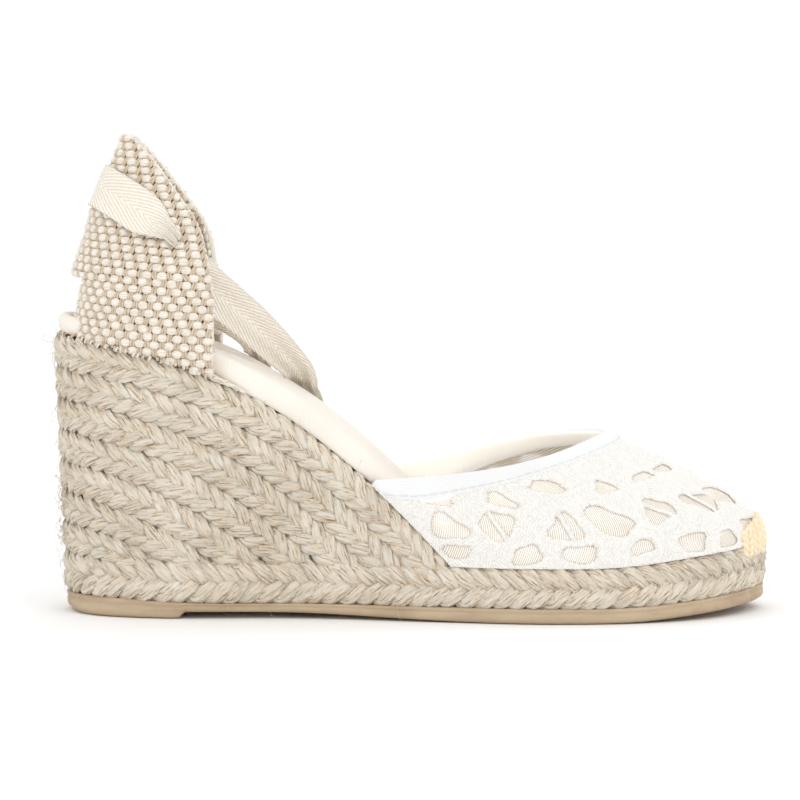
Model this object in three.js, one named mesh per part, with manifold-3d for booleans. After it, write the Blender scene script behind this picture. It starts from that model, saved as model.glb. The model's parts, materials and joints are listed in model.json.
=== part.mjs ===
// Espadrille wedge sandal, right foot, closed toe and open waist, tied round the ankle with a cotton tape.
// Millimetres, +Z up, +X towards the toe, -Y the outer side of the foot.
// The shoe stands on Z = 0 with the origin under the middle of its box.
import * as THREE from 'three';
import { mergeVertices } from 'three/addons/utils/BufferGeometryUtils.js';
import Module from 'manifold-3d';

const wasm = await Module();
wasm.setup();

// ---------------------------------------------------------------- driving dimensions
const soleLength = 237;          // heel back to toe tip
const heelHalfWidth = 32;
const waistHalfWidth = 30.5;
const ballHalfWidth = 44;
const waistX = 86;               // narrowest place, from the heel back
const ballX = 167;               // widest place, from the heel back
const toeTipY = 3;               // the toe point lies a little towards the inner side

const heelHeight = 91.5;         // top edge of the highest braid at the heel back
const heelLean = 3.6;            // how far the heel face leans in towards its foot
const braidRows = 7;             // braids wrapped round the wedge, above the welt braid
const wedgeLandingX = 131;       // where the top braid's upper edge lands on the welt braid
const lastLandingX = 38;         // where the lowest row's upper edge lands
const braidThickness = 7;
const braidCrown = 1.5;          // how far a braid's edges fall back from its middle

const outsoleThickness = 4.4;
const outsoleInset = 1.4;        // the rubber stands in from the braid
const heelPadEnd = 43;           // the heel pad of the outsole ends in a step
const archRelief = 2;            // height of that step
const toeSpring = 3.6;
const toeSpringStart = 172;
const weltHeight = 13.6;         // height of the braid that runs all the way round

const forefootSeat = 11;         // underside of the insole board under the toes
const boardThickness = 2;
const foamThickness = 4.6;
const canvasThickness = 1;
const innerEdgeInset = braidThickness + 2.5;   // the footbed sits inside the welt braid at the forefoot

const counterTop = 157.5;        // highest point of the heel counter
const counterTopX = 25;
const counterFrontX = 55;        // front edge of the counter
const counterFrontZ = 102;
const counterThickness = 1.6;
const counterLiningThickness = 0.8;
const heelRimHeight = 6;

const throatX = 182.5;           // front of the foot opening
const throatZ = 58;
const vampRearX = 105;
const vampRearZ = 44.4;
const toplineHalfWidth = 30;
const vampInset = 2.4;
const laceThickness = 0.9;
const meshThickness = 0.6;
const bindingWidth = 5;
const toePatchHalfWidth = 15;
const toePatchHeight = 0.22;     // share of the vamp's height at the toe
const toePatchThickness = 1;

const tapeWidth = 15;
const tapeThickness = 1;
const slitHeight = 7;
const slitWidth = 3.4;

const gap = 0.3;                 // clearance between pieces that are glued or sewn together

// ---------------------------------------------------------------- small helpers
const up = new THREE.Vector3(0, 0, 1);
const vec = (x, y, z) => new THREE.Vector3(x, y, z);
const lerp = THREE.MathUtils.lerp;
const clamp = THREE.MathUtils.clamp;

// Goes smoothly from 0 at a to 1 at b, whichever of the two is larger.
function smooth(a, b, x) {
  const share = clamp((x - a) / (b - a), 0, 1);
  return share * share * (3 - 2 * share);
}

function signedVolume(points, index) {
  let six = 0;
  for (let i = 0; i < index.length; i += 3) {
    const [a, b, c] = [points[index[i]], points[index[i + 1]], points[index[i + 2]]];
    six += a.dot(b.clone().cross(c));
  }
  return six / 6;
}

function solidFrom(points, index) {
  if (signedVolume(points, index) < 0) index.reverse();
  const geometry = new THREE.BufferGeometry().setFromPoints(points);
  geometry.setIndex(index);
  return geometry;
}

// A solid through a row of sections; each section is a ring of the same number of points.
function loft(rings, closed = false) {
  const size = rings[0].length;
  const index = [];
  const last = closed ? rings.length : rings.length - 1;
  for (let i = 0; i < last; i += 1) {
    const a = i * size;
    const b = ((i + 1) % rings.length) * size;
    for (let k = 0; k < size; k += 1) {
      const n = (k + 1) % size;
      index.push(a + k, a + n, b + k, a + n, b + n, b + k);
    }
  }
  if (!closed) {
    const end = (rings.length - 1) * size;
    for (let k = 1; k < size - 1; k += 1) {
      index.push(0, k + 1, k, end, end + k, end + k + 1);
    }
  }
  return solidFrom(rings.flat(), index);
}

// A sheet of even thickness on a surface(u, v), between two distances from it along its normal.
function shell(surface, { u0 = 0, u1 = 1, v0 = () => 0, v1 = () => 1, nu, nv, from, to, sense = 1 }) {
  const step = 1e-3;
  const at = (u, v, distance) => {
    const along = surface(u + step, v).sub(surface(u - step, v));
    const across = surface(u, v + step).sub(surface(u, v - step));
    const normal = along.cross(across).normalize();
    return surface(u, v).addScaledVector(normal, sense * distance);
  };
  const rings = [];
  for (let i = 0; i <= nu; i += 1) {
    const u = lerp(u0, u1, i / nu);
    const ring = [];
    for (let k = 0; k <= nv; k += 1) ring.push(at(u, lerp(v0(u), v1(u), k / nv), from));
    for (let k = nv; k >= 0; k -= 1) ring.push(at(u, lerp(v0(u), v1(u), k / nv), to));
    rings.push(ring);
  }
  return stripEnds(rings, nv);
}

// Like loft, with each end closed by the strip between the two faces of the sheet.
function stripEnds(rings, nv) {
  const size = rings[0].length;
  const index = [];
  for (let i = 0; i < rings.length - 1; i += 1) {
    const [a, b] = [i * size, (i + 1) * size];
    for (let k = 0; k < size; k += 1) {
      const n = (k + 1) % size;
      index.push(a + k, a + n, b + k, a + n, b + n, b + k);
    }
  }
  const end = (rings.length - 1) * size;
  for (let k = 0; k < nv; k += 1) {
    const [o, p, q, r] = [k, k + 1, size - 2 - k, size - 1 - k];
    index.push(o, q, p, o, r, q);
    index.push(end + o, end + p, end + q, end + o, end + q, end + r);
  }
  return solidFrom(rings.flat(), index);
}

function toManifold(geometry) {
  const bare = geometry.clone();
  bare.deleteAttribute('normal');
  bare.deleteAttribute('uv');
  const merged = mergeVertices(bare, 1e-4);
  const vertProperties = new Float32Array(merged.attributes.position.array);
  const triVerts = new Uint32Array(merged.index.array);
  return new wasm.Manifold(new wasm.Mesh({ numProp: 3, vertProperties, triVerts }));
}

function fromManifold(solid) {
  const mesh = solid.getMesh();
  const geometry = new THREE.BufferGeometry();
  geometry.setAttribute('position', new THREE.BufferAttribute(mesh.vertProperties, 3));
  geometry.setIndex(new THREE.BufferAttribute(mesh.triVerts, 1));
  return geometry;
}

const cut = (body, ...tools) => fromManifold(
  tools.reduce((solid, tool) => solid.subtract(toManifold(tool)), toManifold(body)));

// ---------------------------------------------------------------- the sole's outline
// Closed curve in plan, from the heel back along the outer side to the toe tip and home.
const toeRadiusX = 13;
const outlinePoints = [
  [0, 0], [heelHalfWidth * 0.22, -heelHalfWidth * 0.63], [heelHalfWidth, -heelHalfWidth],
  [waistX, -waistHalfWidth - 0.7], [(waistX + ballX) / 2, -(waistHalfWidth + ballHalfWidth) / 2 - 1],
  [ballX - 4, -ballHalfWidth], [ballX + 31, -ballHalfWidth * 0.9],
  [soleLength - toeRadiusX, -ballHalfWidth * 0.54], [soleLength, toeTipY],
  [soleLength - toeRadiusX + 2, ballHalfWidth * 0.6], [ballX + 34, ballHalfWidth * 0.92],
  [ballX + 4, ballHalfWidth], [(waistX + ballX) / 2, (waistHalfWidth + ballHalfWidth) / 2 - 2],
  [waistX, waistHalfWidth - 0.7], [heelHalfWidth, heelHalfWidth],
  [heelHalfWidth * 0.22, heelHalfWidth * 0.63],
].map(([x, y]) => vec(x, y, 0));
const outline = new THREE.CatmullRomCurve3(outlinePoints, true);
const toeT = 8 / outlinePoints.length;

// A place on the outline: t = 0 at the heel back, rising along the outer side, falling along the inner.
function edge(t, inset = 0) {
  const turn = (t % 1 + 1) % 1;
  const tangent = outline.getTangent(turn);
  return outline.getPoint(turn).addScaledVector(vec(tangent.y, -tangent.x, 0), -inset);
}

// The t where one side of the outline reaches a distance from the heel back.
function edgeAt(x, side) {
  let [low, high] = [0, side < 0 ? toeT : toeT - 1];
  for (let i = 0; i < 40; i += 1) {
    const middle = (low + high) / 2;
    if (edge(middle).x < x) low = middle;
    else high = middle;
  }
  return (low + high) / 2;
}

// ---------------------------------------------------------------- heights along the sole
const soleLift = (x) => toeSpring * smooth(toeSpringStart, soleLength + 8, x) ** 1.4;
const outsoleTop = (x) => outsoleThickness + 0.7 + soleLift(x) + 1.6 * smooth(60, 8, x);
const weltTop = (x) => outsoleTop(x) + weltHeight - 1.2 * smooth(70, 150, x) * smooth(215, 175, x);

// Upper edge of wrapped braid number row (0 is the highest): a curve from the heel back to its landing.
function rowCurve(row) {
  const share = row / (braidRows - 1);
  const pitch = (heelHeight - weltTop(0)) / braidRows;
  const start = vec(0, 0, heelHeight - pitch * row);
  const landing = lerp(wedgeLandingX, lastLandingX, share) + 14 * share * (1 - share);
  const finish = vec(landing, 0, weltTop(landing));
  const slope = 1.08 - 0.55 * share ** 1.5;
  const reach = 0.39 * landing;
  const first = vec(0.4 * landing, 0, start.z - 0.06 * landing);
  return new THREE.CubicBezierCurve3(start, first, finish.clone().add(vec(-reach, 0, slope * reach)), finish);
}

const rowCurves = Array.from({ length: braidRows }, (_, row) => rowCurve(row));

// Height of a row's upper edge; past its landing it goes on down its own slope.
function rowHeight(row, x) {
  const curve = rowCurves[row];
  if (x <= 0) return curve.v0.z;
  if (x >= curve.v3.x) return curve.v3.z - (x - curve.v3.x) * (curve.v2.z - curve.v3.z) / (curve.v3.x - curve.v2.x);
  let [low, high] = [0, 1];
  for (let i = 0; i < 30; i += 1) {
    const middle = (low + high) / 2;
    if (curve.getPoint(middle).x < x) low = middle;
    else high = middle;
  }
  return curve.getPoint(low).z;
}

const rimHeight = (x) => Math.max(rowHeight(0, x), weltTop(x));

// Underside of the insole board: it follows the top braid, then runs out level under the forefoot.
function seatHeight(x) {
  const slack = 5;
  const fall = rowHeight(0, x) - forefootSeat;
  return forefootSeat + (fall + Math.sqrt(fall * fall + slack * slack)) / 2 + 2 * gap;
}

const lean = (x, z) => heelLean * clamp(1 - z / heelHeight, 0, 1) * smooth(130, 20, x);

// ---------------------------------------------------------------- sole and wedge
// The place on an inset outline that lies a given distance from the heel back.
function insetEdgeAt(x, side, inset) {
  let [low, high] = [0, side < 0 ? toeT : toeT - 1];
  for (let i = 0; i < 40; i += 1) {
    const middle = (low + high) / 2;
    if (edge(middle, inset).x < x) low = middle;
    else high = middle;
  }
  return edge((low + high) / 2, inset);
}

// A plate that fills the inset outline, between two heights that vary along the sole.
// All plates share the same stations, so the gap between two of them is the same all along.
const endMargin = 0.35;
const plateStations = 38;
const tipSteps = [0, 0.7, 2];
function plate(insetAt, lowAt, highAt, front = soleLength) {
  const start = insetAt(0) + lean(0, lowAt(0)) + endMargin;
  const finish = Math.min(front, soleLength - insetAt(soleLength) - endMargin);
  const shared = Array.from({ length: plateStations + 1 },
    (_, i) => soleLength * (1 - Math.cos(Math.PI * i / plateStations)) / 2);
  const clear = tipSteps[2] + 0.6;
  const stations = tipSteps.map((step) => start + step)
    .concat(shared.filter((x) => x > start + clear && x < finish - clear))
    .concat(tipSteps.map((step) => finish - step).reverse());
  const rings = [];
  for (const x of stations) {
    const corner = (side, z) => insetEdgeAt(x, side, insetAt(x) + lean(x, z)).setZ(z);
    const [low, high] = [lowAt(x), highAt(x)];
    rings.push([corner(-1, low), corner(1, low), corner(1, high), corner(-1, high)]);
  }
  return loft(rings);
}

function rubberOutsole() {
  const groundAt = (x) => soleLift(x) + 0.9 * smooth(14, 3, x)
    + (x > heelPadEnd ? archRelief * smooth(150, heelPadEnd + 20, x) : 0);
  return plate(() => outsoleInset, groundAt, (x) => outsoleTop(x) - gap);
}

const facetSag = 0.4;            // how far a faceted curve may stray from the true one
const coreInset = () => braidThickness + gap + facetSag;
const wedgeFoot = weltTop(waistX) - 1;
const platformTop = (x) => Math.min(wedgeFoot, seatHeight(x) - gap);

const platformCore = () => plate(coreInset, outsoleTop, platformTop);

function wedgeCore() {
  let front = wedgeLandingX;
  while (seatHeight(front) - wedgeFoot < 3) front -= 1;
  return plate(coreInset, () => wedgeFoot + gap, (x) => seatHeight(x) - gap, front);
}

// The section of a braid, from its lower inner corner round its crowned outer face.
function braidRing(t, lowAt, highAt) {
  const profile = [[1, 0], [0, 0], [0, 0.25], [0, 0.5], [0, 0.75], [0, 1], [1, 1]];
  return profile.map(([inner, level]) => {
    const inset = inner ? braidThickness : braidCrown * (2 * level - 1) ** 2;
    const { x } = edge(t, inset);
    const z = lerp(lowAt(x), highAt(x), level);
    return edge(t, inset + lean(x, z)).setZ(z);
  });
}

function weltBraid() {
  const rings = [];
  const stations = 72;
  for (let i = 0; i < stations; i += 1) {
    rings.push(braidRing(i / stations, outsoleTop, (x) => weltTop(x) - gap));
  }
  return loft(rings, true);
}

function wedgeBraid(row) {
  const lowAt = (x) => Math.max(row + 1 < braidRows ? rowHeight(row + 1, x) : 0, weltTop(x));
  const highAt = (x) => rowHeight(row, x) - gap;
  const tailHeight = 1.4;
  let tail = rowCurves[row].v3.x;
  while (highAt(tail) - lowAt(tail) < tailHeight) tail -= 0.5;
  const [start, finish] = [edgeAt(tail, -1), edgeAt(tail, 1)];
  const stations = 44 - 3 * row;
  const rings = [];
  for (let i = 0; i <= stations; i += 1) {
    rings.push(braidRing(lerp(start, finish, i / stations), lowAt, highAt));
  }
  return loft(rings);
}

// ---------------------------------------------------------------- footbed
const cupInset = (x) => lerp(6, 2, smooth(8, 30, x));
const footbedInset = (x) => lerp(
  cupInset(x - 7) + counterThickness + counterLiningThickness + 3 * gap + facetSag, innerEdgeInset,
  smooth(90, 112, x));

function footbedPlate(extraInset, low, high) {
  return plate((x) => footbedInset(x) + extraInset, (x) => seatHeight(x) + low, (x) => seatHeight(x) + high);
}

const skirt = canvasThickness + gap;
const insoleBoard = () => footbedPlate(skirt, 0, boardThickness);
const foamInsole = () => footbedPlate(skirt, boardThickness + gap, boardThickness + gap + foamThickness);

// The canvas is drawn over the foam and down its sides to the underside of the board.
function footbedCover() {
  const inside = boardThickness + foamThickness + 2 * gap;
  const body = footbedPlate(0, 0, inside + canvasThickness);
  return cut(body, footbedPlate(canvasThickness, -5, inside));
}

// ---------------------------------------------------------------- heel counter
const counterEnds = [edgeAt(counterFrontX, -1), edgeAt(counterFrontX, 1)];
const counterRise = counterTop - counterFrontZ;
const counterDepth = counterFrontX - counterTopX;
const counterEdge = [-1, 1].flatMap((side) => {
  const half = [
    [0, 27, 0], [4, 22.5, 0.43], [12, 17, 0.66], [21, 10.5, 0.87], [27.5, 4.5, 0.985],
  ].map(([back, y, rise]) => vec(counterFrontX - back * counterDepth / 30, side * y, counterFrontZ + rise * counterRise));
  return side < 0 ? half.concat(vec(counterTopX, 0, counterTop)) : half.reverse();
});
const counterTopCurve = new THREE.CatmullRomCurve3(counterEdge);

// u runs from the outer front edge round the heel to the inner one, v from the foot to the top edge.
function counterSurface(u, v) {
  const t = lerp(counterEnds[0], counterEnds[1], u);
  const x = edge(t).x;
  const foot = edge(t, cupInset(x)).setZ(rimHeight(x) + gap);
  const head = counterTopCurve.getPoint(clamp(u, 0, 1));
  const outward = edge(t).sub(edge(t, 1));
  const bulge = 0.17 - 0.085 * Math.exp(-(((u - 0.5) / 0.17) ** 2));
  const middle = foot.clone().lerp(head, 0.45).addScaledVector(outward, bulge * foot.distanceTo(head));
  return foot.multiplyScalar((1 - v) ** 2).addScaledVector(middle, 2 * v * (1 - v)).addScaledVector(head, v * v);
}

const slitU = 0.135;             // the two slits lie this share of the way in from the front edges
const slitV = 0.82;

function slitTool(side) {
  const u = side < 0 ? slitU : 1 - slitU;
  const centre = counterSurface(u, slitV);
  const box = new THREE.BoxGeometry(slitWidth, 22, slitHeight);
  box.translate(centre.x, centre.y, centre.z);
  return box;
}

const counterPanel = (from, to) => cut(
  shell(counterSurface, { nu: 24, nv: 12, u0: 0.004, u1: 0.996, v1: () => 0.995, from, to }),
  slitTool(-1), slitTool(1));
const heelCounter = () => counterPanel(0, counterThickness);
const counterLining = () => counterPanel(
  counterThickness + gap, counterThickness + gap + counterLiningThickness);

// The strip of the sock canvas that is turned up behind the counter at the back of the heel.
function heelSeatRim() {
  const reach = 15;
  const [start, finish] = [edgeAt(reach, -1), edgeAt(reach, 1)];
  const rings = [];
  for (let i = 0; i <= 16; i += 1) {
    const t = lerp(start, finish, i / 16);
    const x = edge(t).x;
    const outer = cupInset(x) - 3 * gap - canvasThickness - 0.3;
    const inner = cupInset(x) - 3 * gap;
    const low = rimHeight(x) + gap;
    const high = low + heelRimHeight * (1 - (x / reach) ** 2) + 1;
    rings.push([[outer, low], [inner, low], [inner, high], [outer + 0.5, high]].map(
      ([inset, z]) => edge(t, inset).setZ(z)));
  }
  return loft(rings);
}

// ---------------------------------------------------------------- vamp
const vampEnds = [edgeAt(vampRearX, -1), edgeAt(vampRearX, 1)];
const vampRise = throatZ - vampRearZ;
const throatDepth = throatX - vampRearX;
// Share of the opening's depth, of its half width and of its rise; the outer side is cut lower.
const toplineOuter = [[0.97, 1.0, 0.02], [0.74, 1.0, 0.12], [0.47, 0.96, 0.3], [0.25, 0.78, 0.56], [0.07, 0.4, 0.88]];
const toplineInner = [[0.97, 1.0, 0], [0.74, 1.0, 0.2], [0.53, 0.98, 0.5], [0.28, 0.8, 0.83], [0.08, 0.42, 0.97]];
const toplinePoints = [-1, 1].flatMap((side) => {
  const half = (side < 0 ? toplineOuter : toplineInner).map(([back, wide, rise]) => vec(
    throatX - back * throatDepth, side * wide * toplineHalfWidth, vampRearZ + rise * vampRise));
  return side < 0 ? half.concat(vec(throatX, 0, throatZ)) : half.reverse();
});
const topline = new THREE.CatmullRomCurve3(toplinePoints);

// u runs from the outer rear end round the toe to the inner rear end, v from the welt to the topline.
function vampSurface(u, v) {
  const t = u < 0.5 ? lerp(vampEnds[0], toeT, 2 * u) : lerp(toeT, 1 + vampEnds[1], 2 * u - 1);
  const x = edge(t).x;
  const foot = edge(t, vampInset).setZ(rimHeight(x) + gap);
  const head = topline.getPoint(clamp(u, 0, 1));
  const rise = head.z - foot.z;
  const first = foot.clone().addScaledVector(up, 0.33 * rise);
  const second = foot.clone().lerp(head, 0.27).addScaledVector(up, 0.24 * rise);
  return new THREE.CubicBezierCurve3(foot, first, second, head).getPoint(v);
}

function vampLength(u) {
  let total = 0;
  for (let i = 0; i < 12; i += 1) total += vampSurface(u, i / 12).distanceTo(vampSurface(u, (i + 1) / 12));
  return total;
}

const bindingStart = (u, extra = 0) => Math.max(0.12, 1 - (bindingWidth + extra) / vampLength(u));
const vampSkin = (from, to) => shell(vampSurface, {
  u0: 0.012, u1: 0.988, nu: 36, nv: 8, v1: (u) => bindingStart(u, 3.5 * gap), from, to, sense: -1 });
const vampLace = () => vampSkin(0, laceThickness);
const vampMesh = () => vampSkin(laceThickness + gap, laceThickness + gap + meshThickness);
const toplineBinding = () => shell(vampSurface, {
  u0: 0.004, u1: 0.996, nu: 40, nv: 1, v0: (u) => bindingStart(u),
  from: -0.3, to: laceThickness + gap + meshThickness + 0.4, sense: -1 });

function toeStitching() {
  let half = 0;
  while (Math.abs(vampSurface(0.5 + half, 0).y - toeTipY) < toePatchHalfWidth) half += 0.002;
  const arch = (u) => toePatchHeight * (1 - 0.45 * ((u - 0.5) / half) ** 2);
  return shell(vampSurface, { u0: 0.5 - half, u1: 0.5 + half, nu: 12, nv: 4, v1: arch,
    from: -2 * gap - toePatchThickness, to: -2 * gap, sense: -1 });
}

// ---------------------------------------------------------------- ankle tape
// The stretch that lies on the counter, from one slit round the back to the other.
function tapeWrap() {
  const pinch = 3.2;
  const [u0, u1] = [slitU + 0.045, 1 - slitU - 0.045];
  const middleAt = (u) => lerp(slitV, 0.74, Math.sin(Math.PI * (u - u0) / (u1 - u0)) ** 0.8);
  const halfAt = (u) => {
    const room = smooth(0, 0.16, Math.min(u - u0, u1 - u));
    const height = counterSurface(u, 1).distanceTo(counterSurface(u, 0));
    return lerp(pinch, tapeWidth / 2, room) / height;
  };
  return shell(counterSurface, { u0, u1, nu: 26, nv: 3, v0: (u) => middleAt(u) - halfAt(u),
    v1: (u) => middleAt(u) + halfAt(u), from: -2 * gap - tapeThickness, to: -2 * gap });
}

// A flat tape along chosen stations: centre, direction of its width, width and thickness.
function tapeAlong(stations) {
  const path = new THREE.CatmullRomCurve3(stations.map(([x, y, z]) => vec(x, y, z)));
  const across = new THREE.CatmullRomCurve3(stations.map((station) => station[3]));
  const last = stations.length - 1;
  const rings = [];
  const steps = last * 4;
  for (let i = 0; i <= steps; i += 1) {
    const share = i / steps;
    const low = stations[Math.min(last, Math.floor(share * last))];
    const high = stations[Math.min(last, Math.floor(share * last) + 1)];
    const part = share * last - Math.floor(share * last);
    const half = lerp(low[4], high[4], part) / 2;
    const thick = lerp(low[5], high[5], part) / 2;
    const along = path.getTangent(share);
    const wide = across.getPoint(share);
    wide.addScaledVector(along, -wide.dot(along)).normalize();
    const normal = along.clone().cross(wide);
    const centre = path.getPoint(share);
    rings.push([[-1, -1], [1, -1], [1, 1], [-1, 1]].map(([a, b]) => centre.clone()
      .addScaledVector(wide, a * half).addScaledVector(normal, b * thick)));
  }
  return loft(rings);
}

const footbedTop = boardThickness + foamThickness + canvasThickness + 2 * gap;
const slitPoint = (side) => counterSurface(side < 0 ? slitU : 1 - slitU, slitV);
const upright = vec(0, 0, 1);
const pinchedWidth = slitHeight - 1.2;
const pinchedThickness = slitWidth - 1.4;

// Where a tail crosses the inner edge of the footbed and drops beside the wedge.
function overEdge(x) {
  const t = edgeAt(x, 1);
  const side = edge(t).y;
  const lip = side - footbedInset(x);
  const top = seatHeight(x) + footbedTop;
  const slope = (seatHeight(x + 4) - seatHeight(x - 4)) / 8;
  const along = vec(1, 0, slope).normalize();
  const clear = side + 1.6;
  const w = tapeWidth;
  const h = tapeThickness;
  return [
    [x - 3, lip - 7, top + 0.4 * w - 3 * slope, along, w, h],
    [x, lip + 1, top + 2.6, along, w, h],
    [x + 0.5, clear, top - 5, along, w, h],
    [x + 0.5, clear + 0.6, top - 20, vec(1, 0, 0), w, h],
    [x + 0.5, clear + 0.8, (top + hankHeight) / 2, vec(1, 0, 0), w, h],
    [x + 0.5, clear + 1.2, hankHeight + gap, vec(1, 0, 0), w, h],
  ];
}

const hankHeight = 24;
const tailOuterX = 84;           // where each tail crosses the footbed's edge
const tailInnerX = tailOuterX - 1.2 * tapeWidth;

function tapeTail(side) {
  const slit = slitPoint(side);
  const w = tapeWidth;
  const h = tapeThickness;
  const through = [
    [slit.x, slit.y + side * 1.4, slit.z, upright, pinchedWidth, pinchedThickness],
    [slit.x, slit.y - side * 6, slit.z - 0.3, upright, pinchedWidth, pinchedThickness],
  ];
  const inside = side < 0 ? [
    [50, -12, 112, vec(0.5, 0, 0.9), w, h],
    [58, -4, 103, vec(0.6, 0, 0.75), w, h],
    [66, 4, 95, vec(0.7, 0, 0.6), w, h],
    [74, 12, 87, vec(0.9, 0, 0.2), w, h],
  ] : [
    [48, 16.5, 112, vec(0.8, -0.2, 0.5), w * 0.8, h],
    [52.5, 17, 102, vec(0.9, -0.2, 0.1), w, h],
  ];
  return tapeAlong(through.concat(inside, overEdge(side < 0 ? tailOuterX : tailInnerX)));
}

// The rest of the tape lies folded on the ground beside the wedge.
function tapeHank() {
  const [x0, x1] = [tailInnerX - 10, tailOuterX + 10];
  const y0 = edge(edgeAt(waistX, 1)).y + 2.4;
  const depth = 9;
  const radius = 4;
  const shape = new THREE.Shape();
  shape.moveTo(x0 + radius, y0);
  shape.lineTo(x1 - radius, y0);
  shape.absarc(x1 - radius, y0 + radius, radius, -Math.PI / 2, 0);
  shape.absarc(x1 - radius, y0 + depth - radius, radius, 0, Math.PI / 2);
  shape.absarc(x0 + radius, y0 + depth - radius, radius, Math.PI / 2, Math.PI);
  shape.absarc(x0 + radius, y0 + radius, radius, Math.PI, 1.5 * Math.PI);
  const solid = new THREE.ExtrudeGeometry(shape, { depth: hankHeight - gap, bevelEnabled: false, curveSegments: 3 });
  return solid.translate(0, 0, gap);
}

// ---------------------------------------------------------------- materials and assembly
const look = (color, roughness) => new THREE.MeshStandardMaterial({ color, roughness, metalness: 0 });
const jute = () => look(0xd8cdb6, 0.9);
const cotton = () => look(0xfaebd7, 0.85);

const shoe = new THREE.Group();
function add(name, geometry, material) {
  const mesh = new THREE.Mesh(geometry, material);
  mesh.name = name;
  shoe.add(mesh);
}

add('rubber_outsole', rubberOutsole(), look(0xb9a58c, 0.7));
add('platform_core', platformCore(), look(0xe6dcc6, 0.9));
add('wedge_core', wedgeCore(), look(0xe6dcc6, 0.9));
add('welt_braid', weltBraid(), jute());
for (let row = 0; row < braidRows; row += 1) add(`wedge_braid_${row + 1}`, wedgeBraid(row), jute());
add('insole_board', insoleBoard(), look(0xc8ad82, 0.8));
add('foam_insole', foamInsole(), look(0xf2f0ea, 0.95));
add('footbed_cover', footbedCover(), look(0xf7f0e2, 0.9));
add('heel_seat_rim', heelSeatRim(), look(0xf3e8d6, 0.9));
add('heel_counter', heelCounter(), look(0xf0e6d6, 0.95));
add('counter_lining', counterLining(), look(0xe8d8c0, 0.95));
add('vamp_lace', vampLace(), look(0xf8f3ea, 0.85));
add('vamp_mesh_lining', vampMesh(), look(0xe4d8c6, 0.9));
add('topline_binding', toplineBinding(), look(0xffffff, 0.8));
add('toe_stitching', toeStitching(), look(0xf3d9a8, 0.9));
add('ankle_tape_wrap', tapeWrap(), cotton());
add('ankle_tape_tail_outer', tapeTail(-1), cotton());
add('ankle_tape_tail_inner', tapeTail(1), cotton());
add('ankle_tape_hank', tapeHank(), cotton());

// The origin goes under the middle of the shoe's box, on the ground.
const box = new THREE.Box3().setFromObject(shoe);
const centre = box.getCenter(new THREE.Vector3());
shoe.position.set(-centre.x, -centre.y, -box.min.z);
shoe.updateMatrixWorld(true);

const group = new THREE.Group();
group.add(shoe);

export default group;
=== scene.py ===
# Wedge espadrille sandal: braids, weave, lace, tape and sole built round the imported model.
import json
import math
import bpy
import numpy as np
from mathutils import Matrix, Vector

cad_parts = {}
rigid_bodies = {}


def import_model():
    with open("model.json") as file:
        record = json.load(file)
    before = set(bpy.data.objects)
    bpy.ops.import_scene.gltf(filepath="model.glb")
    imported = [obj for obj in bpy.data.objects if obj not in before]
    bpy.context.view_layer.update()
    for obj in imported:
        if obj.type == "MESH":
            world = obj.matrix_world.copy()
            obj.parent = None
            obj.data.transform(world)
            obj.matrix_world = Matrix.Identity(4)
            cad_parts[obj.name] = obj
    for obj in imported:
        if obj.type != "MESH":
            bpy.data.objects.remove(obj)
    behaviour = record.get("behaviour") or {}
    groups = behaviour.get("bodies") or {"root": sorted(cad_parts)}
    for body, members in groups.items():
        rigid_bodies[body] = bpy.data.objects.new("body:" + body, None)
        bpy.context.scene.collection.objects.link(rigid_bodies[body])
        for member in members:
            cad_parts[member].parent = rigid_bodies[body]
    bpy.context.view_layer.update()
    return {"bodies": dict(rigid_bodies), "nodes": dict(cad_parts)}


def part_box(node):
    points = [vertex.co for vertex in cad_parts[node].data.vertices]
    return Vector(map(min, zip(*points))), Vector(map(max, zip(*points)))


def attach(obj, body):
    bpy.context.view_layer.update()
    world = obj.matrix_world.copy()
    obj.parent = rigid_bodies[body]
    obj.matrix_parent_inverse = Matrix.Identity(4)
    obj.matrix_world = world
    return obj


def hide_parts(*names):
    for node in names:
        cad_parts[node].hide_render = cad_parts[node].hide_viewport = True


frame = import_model()

MM = 0.001
TURN = 2 * math.pi
UP = np.array([0, 0, 1.0])
ROOT = next(iter(frame["bodies"]))

# ------------------------------------------------------------------ the shoe's main sizes, in mm
# Lengths run from the heel back towards the toe, as in the CAD model.
SOLE_LENGTH = 237.0
HEEL_HALF, WAIST_HALF, BALL_HALF = 32.0, 30.5, 44.0
WAIST_X, BALL_X, TOE_TIP_Y, TOE_RADIUS = 86.0, 167.0, 3.0, 13.0
HEEL_HEIGHT, HEEL_LEAN = 91.5, 3.6
BRAID_ROWS = 7
LANDING_FIRST, LANDING_LAST = 131.0, 38.0
OUTSOLE_THICK, WELT_HEIGHT = 4.4, 13.6
HEEL_PAD_END, ARCH_RELIEF = 43.0, 2.0
TOE_SPRING, TOE_SPRING_START = 3.6, 172.0
FOREFOOT_SEAT = 11.0
GAP = 0.3
COUNTER_TOP, COUNTER_TOP_X = 157.5, 25.0
COUNTER_FRONT_X, COUNTER_FRONT_Z = 55.0, 102.0
THROAT_X, THROAT_Z = 182.5, 58.0
VAMP_REAR_X, VAMP_REAR_Z, TOPLINE_HALF = 105.0, 44.4, 30.0
VAMP_INSET = 2.4
TAPE_WIDTH = 15.0
SLIT_U, SLIT_V = 0.135, 0.82

welt_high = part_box("welt_braid")[1]
sole_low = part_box("rubber_outsole")[0]
ORIGIN = np.array([welt_high[0] / MM - SOLE_LENGTH, welt_high[1] / MM - BALL_HALF, sole_low[2] / MM])


# ------------------------------------------------------------------ small maths
def smooth(a, b, x):
    """Zero at a and one at b, with a soft start and end."""
    share = np.clip((np.asarray(x, float) - a) / (b - a), 0, 1)
    return share * share * (3 - 2 * share)


def unit(v):
    return v / np.maximum(np.linalg.norm(v, axis=-1, keepdims=True), 1e-12)


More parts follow.
